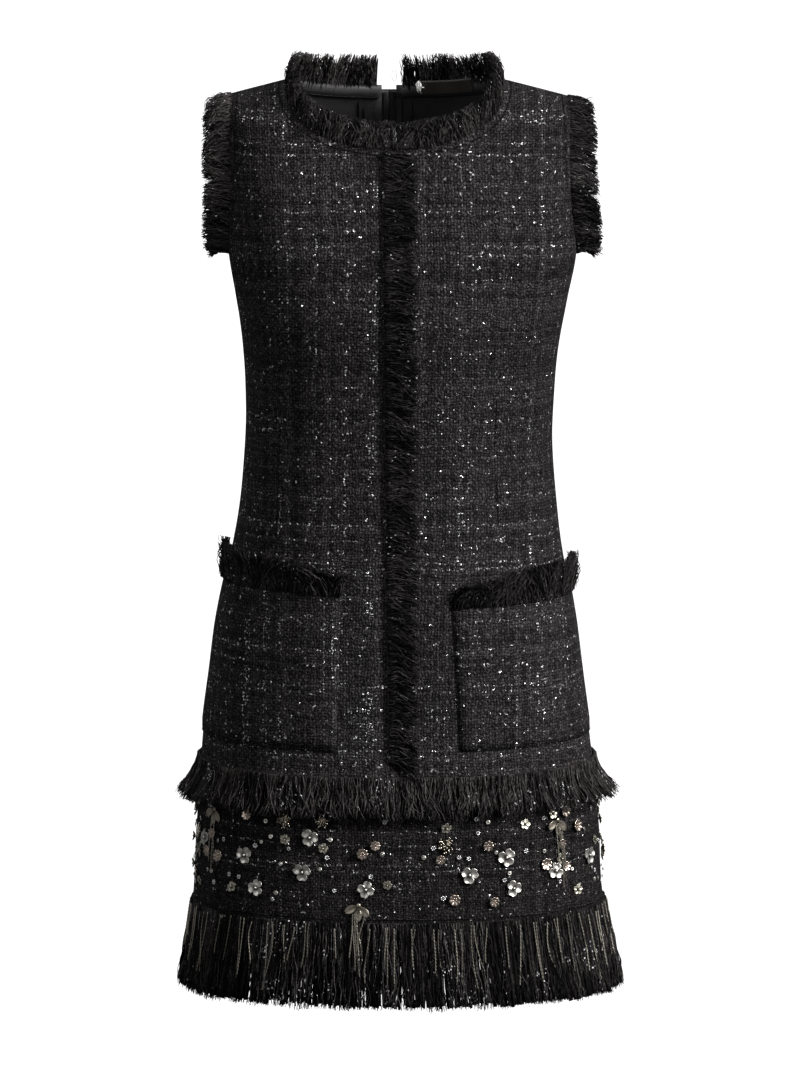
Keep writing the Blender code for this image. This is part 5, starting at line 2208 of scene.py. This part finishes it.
@dataclass
class BackFacing(SubAssembly):
    """A facing along the inside of the back neck, its piping, the lining's seams and a thread loop."""

    width: float = 6.5
    rise: float = 4.5
    gap: float = TWEED / 2 + LAY_GAP + LINING_CLOTH + 0.7
    seams: tuple[tuple[float, float], ...] = ((-38.0, -27.0), (-33.0, -34.0), (13.0, -27.0), (3.5, -20.0))
    seam_bottom: float = -190.0

    def lay_facing(self, side: Side, yarns: Yarns) -> None:
        """Lays one side's facing and pipes its edges.

        Args:
            side: Left or right.
            yarns: Takes the piping.
        """
        cut = self.cuts[Face.BACK, side]
        angle, height = cut.inner(np.linspace(cut.corner, LAST_ROW, 60))
        keep = np.abs(self.form.point(angle, height)[:, 0] - centre_line(height[0], Face.BACK)) > 5
        angle, height = angle[keep], height[keep]
        edge, normal = self.form.point(angle, height), self.form.outwards(angle, height)
        down = unit(np.cross(normal, np.gradient(edge, axis=0))) * side.value
        down = down * -np.sign(down[:1, 2:])
        middle = unit(edge * [1, 1, 0] - [NECK_MIDDLE, 0, 0])
        rise = edge + [0, 0, self.rise] - middle * 1.6
        rows = [rise, rise * 0.5 + 0.5 * (edge - normal * self.gap)]
        rows += [edge + down * d - normal * self.gap for d in np.linspace(1, self.width, 4)]
        points, name = np.array(rows), f"back_facing_{side.word}"
        cloth = Cloth(self.wardrobe.facing, "lining", 0.6)
        lay_cloth(name, (points, points[..., [0, 2]] * MM, -middle[20]), cloth, [f"back_{side.word}"])
        piping = np.stack([points[0], points[-1] - normal * 0.4])
        yarns.add(piping, np.full((1, piping.shape[1]), 0.55), np.array([1.0, 0.7]))

    def build(self) -> None:
        """Lays the facing and adds the seams and the loop."""
        yarns = Yarns()
        for side in Side:
            self.lay_facing(side, yarns)
        for x, top in self.seams:
            height = np.linspace(self.seam_bottom, top, 24)
            angle = self.form.angle_at(np.full(24, x), height, Face.BACK)
            lift = relief(self.form.point(angle, height), Face.BACK) - self.gap + 0.35
            yarns.add(self.form.skin(angle, height, lift)[None], np.full((1, 24), 0.4), np.array([0.5]))
        t = np.linspace(0, 5.6, 16)
        loop = np.stack([-4.5 + 2.2 * np.sin(t), 84 + 0.6 * t, -5 + 5.5 * np.cos(t)], -1)
        yarns.add(loop[None], np.full((1, 16), 0.22), np.array([0.4]))
        add_piece("inside_seams", yarns.mesh("inside_seams"), self.wardrobe.thread)


@dataclass
class Zip(SubAssembly):
    """Two tapes and a row of small teeth down the centre back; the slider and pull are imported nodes."""

    top: float = -24.0
    pitch: float = 1.25
    offset: float = 0.35
    shares: tuple[float, float] = (0.004, 0.034)

    def build(self) -> None:
        """Hangs the tapes and sets the teeth."""
        inside = -(TWEED / 2 + LAY_GAP + TAPE_CLOTH / 2)
        cloth = Cloth(self.wardrobe.tape, "zip_tape", TAPE_CLOTH)
        for side in Side:
            cut = self.cuts[Face.BACK, side]
            rows = rows_between(5, cut.corner + 1)
            points, flat = self.panel_points(cut, rows, np.linspace(*self.shares, 4), inside)
            name, out = f"zip_tape_{side.word}", self.form.outwards(175.0 * side.value, -200.0)
            lay_cloth(f"{name}_cloth", (points, flat, out), cloth, [f"back_{side.word}"], [name])
        tooth = Casting()
        tooth.blob((0, 0, 0), (1.5, 0.42, 0.5), 0.1, 6, 4)
        shape, teeth = tooth.shape(), Scatter()
        for k, height in enumerate(np.arange(self.top, ZIP_BOTTOM, -self.pitch)):
            x = centre_line(height, Face.BACK) + (self.offset if k % 2 else -self.offset)
            angle = float(self.form.angle_at(x, height, Face.BACK))
            teeth.add(shape, self.frame_on(Trim(angle, height, 1), -0.9))
        add_piece("zip_teeth", teeth.mesh("zip_teeth"), self.wardrobe.steel)

    def dress_metal(self, frame: dict) -> None:
        """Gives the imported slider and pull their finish.
        """
        for name in ("zip_slider", "zip_pull"):
            for slot in frame["nodes"][name].material_slots:
                slot.link = "OBJECT"
                slot.material = self.wardrobe.steel


@dataclass
class NeckLabel(SubAssembly):
    """A blank ribbon label inside the back neck, with a few white stitches at its end."""

    ends: tuple[float, float] = (20.0, 71.0)
    rise: tuple[float, float] = (-4.0, 9.0)
    stitches: int = 13

    def build(self, line: Seamline) -> None:
        """Sews the label on.

        Args:
            line: The line of the fringe that it is sewn along.
        """
        share = np.interp(self.ends, line.tables[0][:, 0], line.shares)
        across = np.linspace(*share, 30)[None]
        rise = np.linspace(*self.rise, 8)[:, None]
        off = -2.9 - 0.35 * np.cos(np.linspace(0, 9, 30))[None] * (1 - rise / 26)
        across, rise = np.broadcast_arrays(across, rise)
        points = line.place(across, rise, 0 * rise, off)
        flat = np.stack([across * line.length, rise], -1) * MM
        cloth = Cloth(self.wardrobe.ribbon, "label_ribbon", 0.5)
        out = -line.tables[3][40]
        held_by = ["neck_fringe_back_right"]
        lay_cloth("neck_label_cloth", (points, flat, out), cloth, held_by, ["neck_label"])
        tack, rng, size = Yarns(), self.rng, (self.stitches, 1)
        t = np.linspace(0, 1, 6)[None]
        near = share[0] + rng.uniform(-2, 2, size) / line.length + 0 * t
        drift = rng.normal(0, 2.8, size) * (t - 0.4) + 0.8 * np.sin(5 * t + rng.uniform(0, 6, size))
        lift = 3.5 + rng.uniform(-7, 7, size) * (t - 0.5) * 1.9
        paths = line.place(near, lift, drift, -4.0 - 0.8 * np.sin(3 * t) + 0 * near)
        tack.add(paths, np.full((1, 6), 0.5), np.full(self.stitches, 0.7))
        add_piece("label_tack", tack.mesh("label_tack"), self.wardrobe.tack)


class Lamp(NamedTuple):
    """A broad lamp: its strength, how many degrees wide it looks, and which way it shines from."""

    name: str
    strength: float
    spread: float
    azimuth: float
    elevation: float


LAMPS = (
    Lamp("key", 7.4, 18, 61, 27), Lamp("rim", 0.8, 30, -150, 38),
    Lamp("top", 1.0, 40, -10, 62), Lamp("front", 0.45, 40, -38, 16),
)


def stand(
    name: str, data: bpy.types.Light | bpy.types.Camera, turn: Quaternion, place: Sequence[float] = (0, 0, 0)
) -> bpy.types.Object:
    """Puts a lamp or a camera in the scene.

    Args:
        name: The object's name.
        data: The lamp or the camera.
        turn: How it is turned.
        place: Where it stands, in metres; a sun may stand anywhere.

    Returns:
        The new object.
    """
    made = bpy.data.objects.new(name, data)
    made.location = place
    made.rotation_mode = "QUATERNION"
    made.rotation_quaternion = turn
    bpy.context.scene.collection.objects.link(made)
    return made


@dataclass
class Studio:
    """The floor, the light and the camera."""

    target: tuple[float, float, float] = (0.001, 0.0, -0.4311)
    distance: float = 8.3
    elevation: float = 9.25
    frame_height: float = 1.0094
    floor_height: float = -1.6
    floor_size: float = 60.0
    floor_tone: float = 0.74
    fill: float = 0.15
    neck_aim: tuple[float, float, float] = (0.052, 0.085, -0.032)
    neck_way: tuple[float, float, float] = (-0.4, -0.86, 0.31)
    neck_distance: float = 3.0
    neck_watts: float = 90.0
    neck_spread: float = 2.3

    def build(self) -> None:
        """Sets up the studio."""
        self.lay_floor()
        self.light()
        self.place_camera()

    def lay_floor(self) -> None:
        """A plain pale floor. It throws no light back on the dark cloth."""
        bm = bmesh.new()
        bmesh.ops.create_grid(bm, x_segments=1, y_segments=1, size=self.floor_size)
        bmesh.ops.translate(bm, vec=(0, 0, self.floor_height), verts=bm.verts)
        mesh = bpy.data.meshes.new("floor")
        bm.to_mesh(mesh)
        bm.free()
        floor = bpy.data.objects.new("floor", mesh)
        bpy.context.scene.collection.objects.link(floor)
        material = bpy.data.materials.new("pale floor")
        material.use_nodes = True
        shader = material.node_tree.nodes["Principled BSDF"]
        shader.inputs["Base Color"].default_value = (*[self.floor_tone] * 3, 1)
        shader.inputs["Roughness"].default_value = 0.9
        mesh.materials.append(material)
        floor.visible_diffuse = False
        floor.visible_glossy = False

    def light(self) -> None:
        """A white surround, the broad lamps, and a narrow one that reaches the lining through the neck."""
        world = bpy.data.worlds.new("studio")
        world.use_nodes = True
        background = world.node_tree.nodes["Background"]
        background.inputs["Color"].default_value = (1, 1, 1, 1)
        graph = Graph(world.node_tree)
        seen = graph.node("ShaderNodeLightPath").outputs["Is Camera Ray"]
        graph.link(graph.remap(seen, 0.0, 1.0, self.fill, 1.0), background, "Strength")
        bpy.context.scene.world = world
        for lamp in LAMPS:
            sun = bpy.data.lights.new(lamp.name, "SUN")
            sun.energy, sun.angle = lamp.strength, math.radians(lamp.spread)
            across, up = math.radians(lamp.azimuth), math.radians(lamp.elevation)
            source = Vector((math.sin(across) * math.cos(up), -math.cos(across) * math.cos(up), math.sin(up)))
            stand(lamp.name, sun, source.to_track_quat("Z", "Y"))
        spot = bpy.data.lights.new("neck", "SPOT")
        spot.energy, spot.spot_size = self.neck_watts, math.radians(self.neck_spread)
        spot.spot_blend, spot.shadow_soft_size = 0.9, 0.12
        way = Vector(self.neck_way)
        stand("neck", spot, way.to_track_quat("Z", "Y"), Vector(self.neck_aim) + self.neck_distance * way)

    def place_camera(self) -> None:
        """The camera at the photograph's angle and framing."""
        lens = bpy.data.cameras.new("camera")
        lens.sensor_width = 36.0
        lens.lens = lens.sensor_width * self.distance / self.frame_height
        lens.clip_start, lens.clip_end = 0.1, 200.0
        tilt = math.radians(self.elevation)
        back = Vector((0, -math.cos(tilt), math.sin(tilt)))
        turn, place = (-back).to_track_quat("-Z", "Y"), Vector(self.target) + back * self.distance
        bpy.context.scene.camera = stand("camera", lens, turn, place)


def clear_scene() -> None:
    """Removes what the startup file holds."""
    for old in list(bpy.data.objects):
        bpy.data.objects.remove(old)


def main() -> None:
    """Loads the frame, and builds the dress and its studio."""
    logging.basicConfig(level=logging.INFO, format="%(name)s %(message)s")
    clear_scene()
    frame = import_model()
    bpy.context.scene.view_settings.view_transform = "Standard"
    Studio().build()
    room = Workroom(DressForm(), Wardrobe())
    for kind in (Panels, Band, Pockets, Lining):
        kind(room).build()
    right_back = NeckFringe(room).build()
    NeckLabel(room).build(right_back)
    for kind in (ArmholeFringe, PlacketFringe, PocketFringe, HipFringe, HemFringe, BandTrims, Topstitching):
        kind(room).build()
    zip_fastener = Zip(room)
    zip_fastener.build()
    zip_fastener.dress_metal(frame)
    for kind in (BackFacing, LooseSilver):
        kind(room).build()


if __name__ == "__main__":
    main()
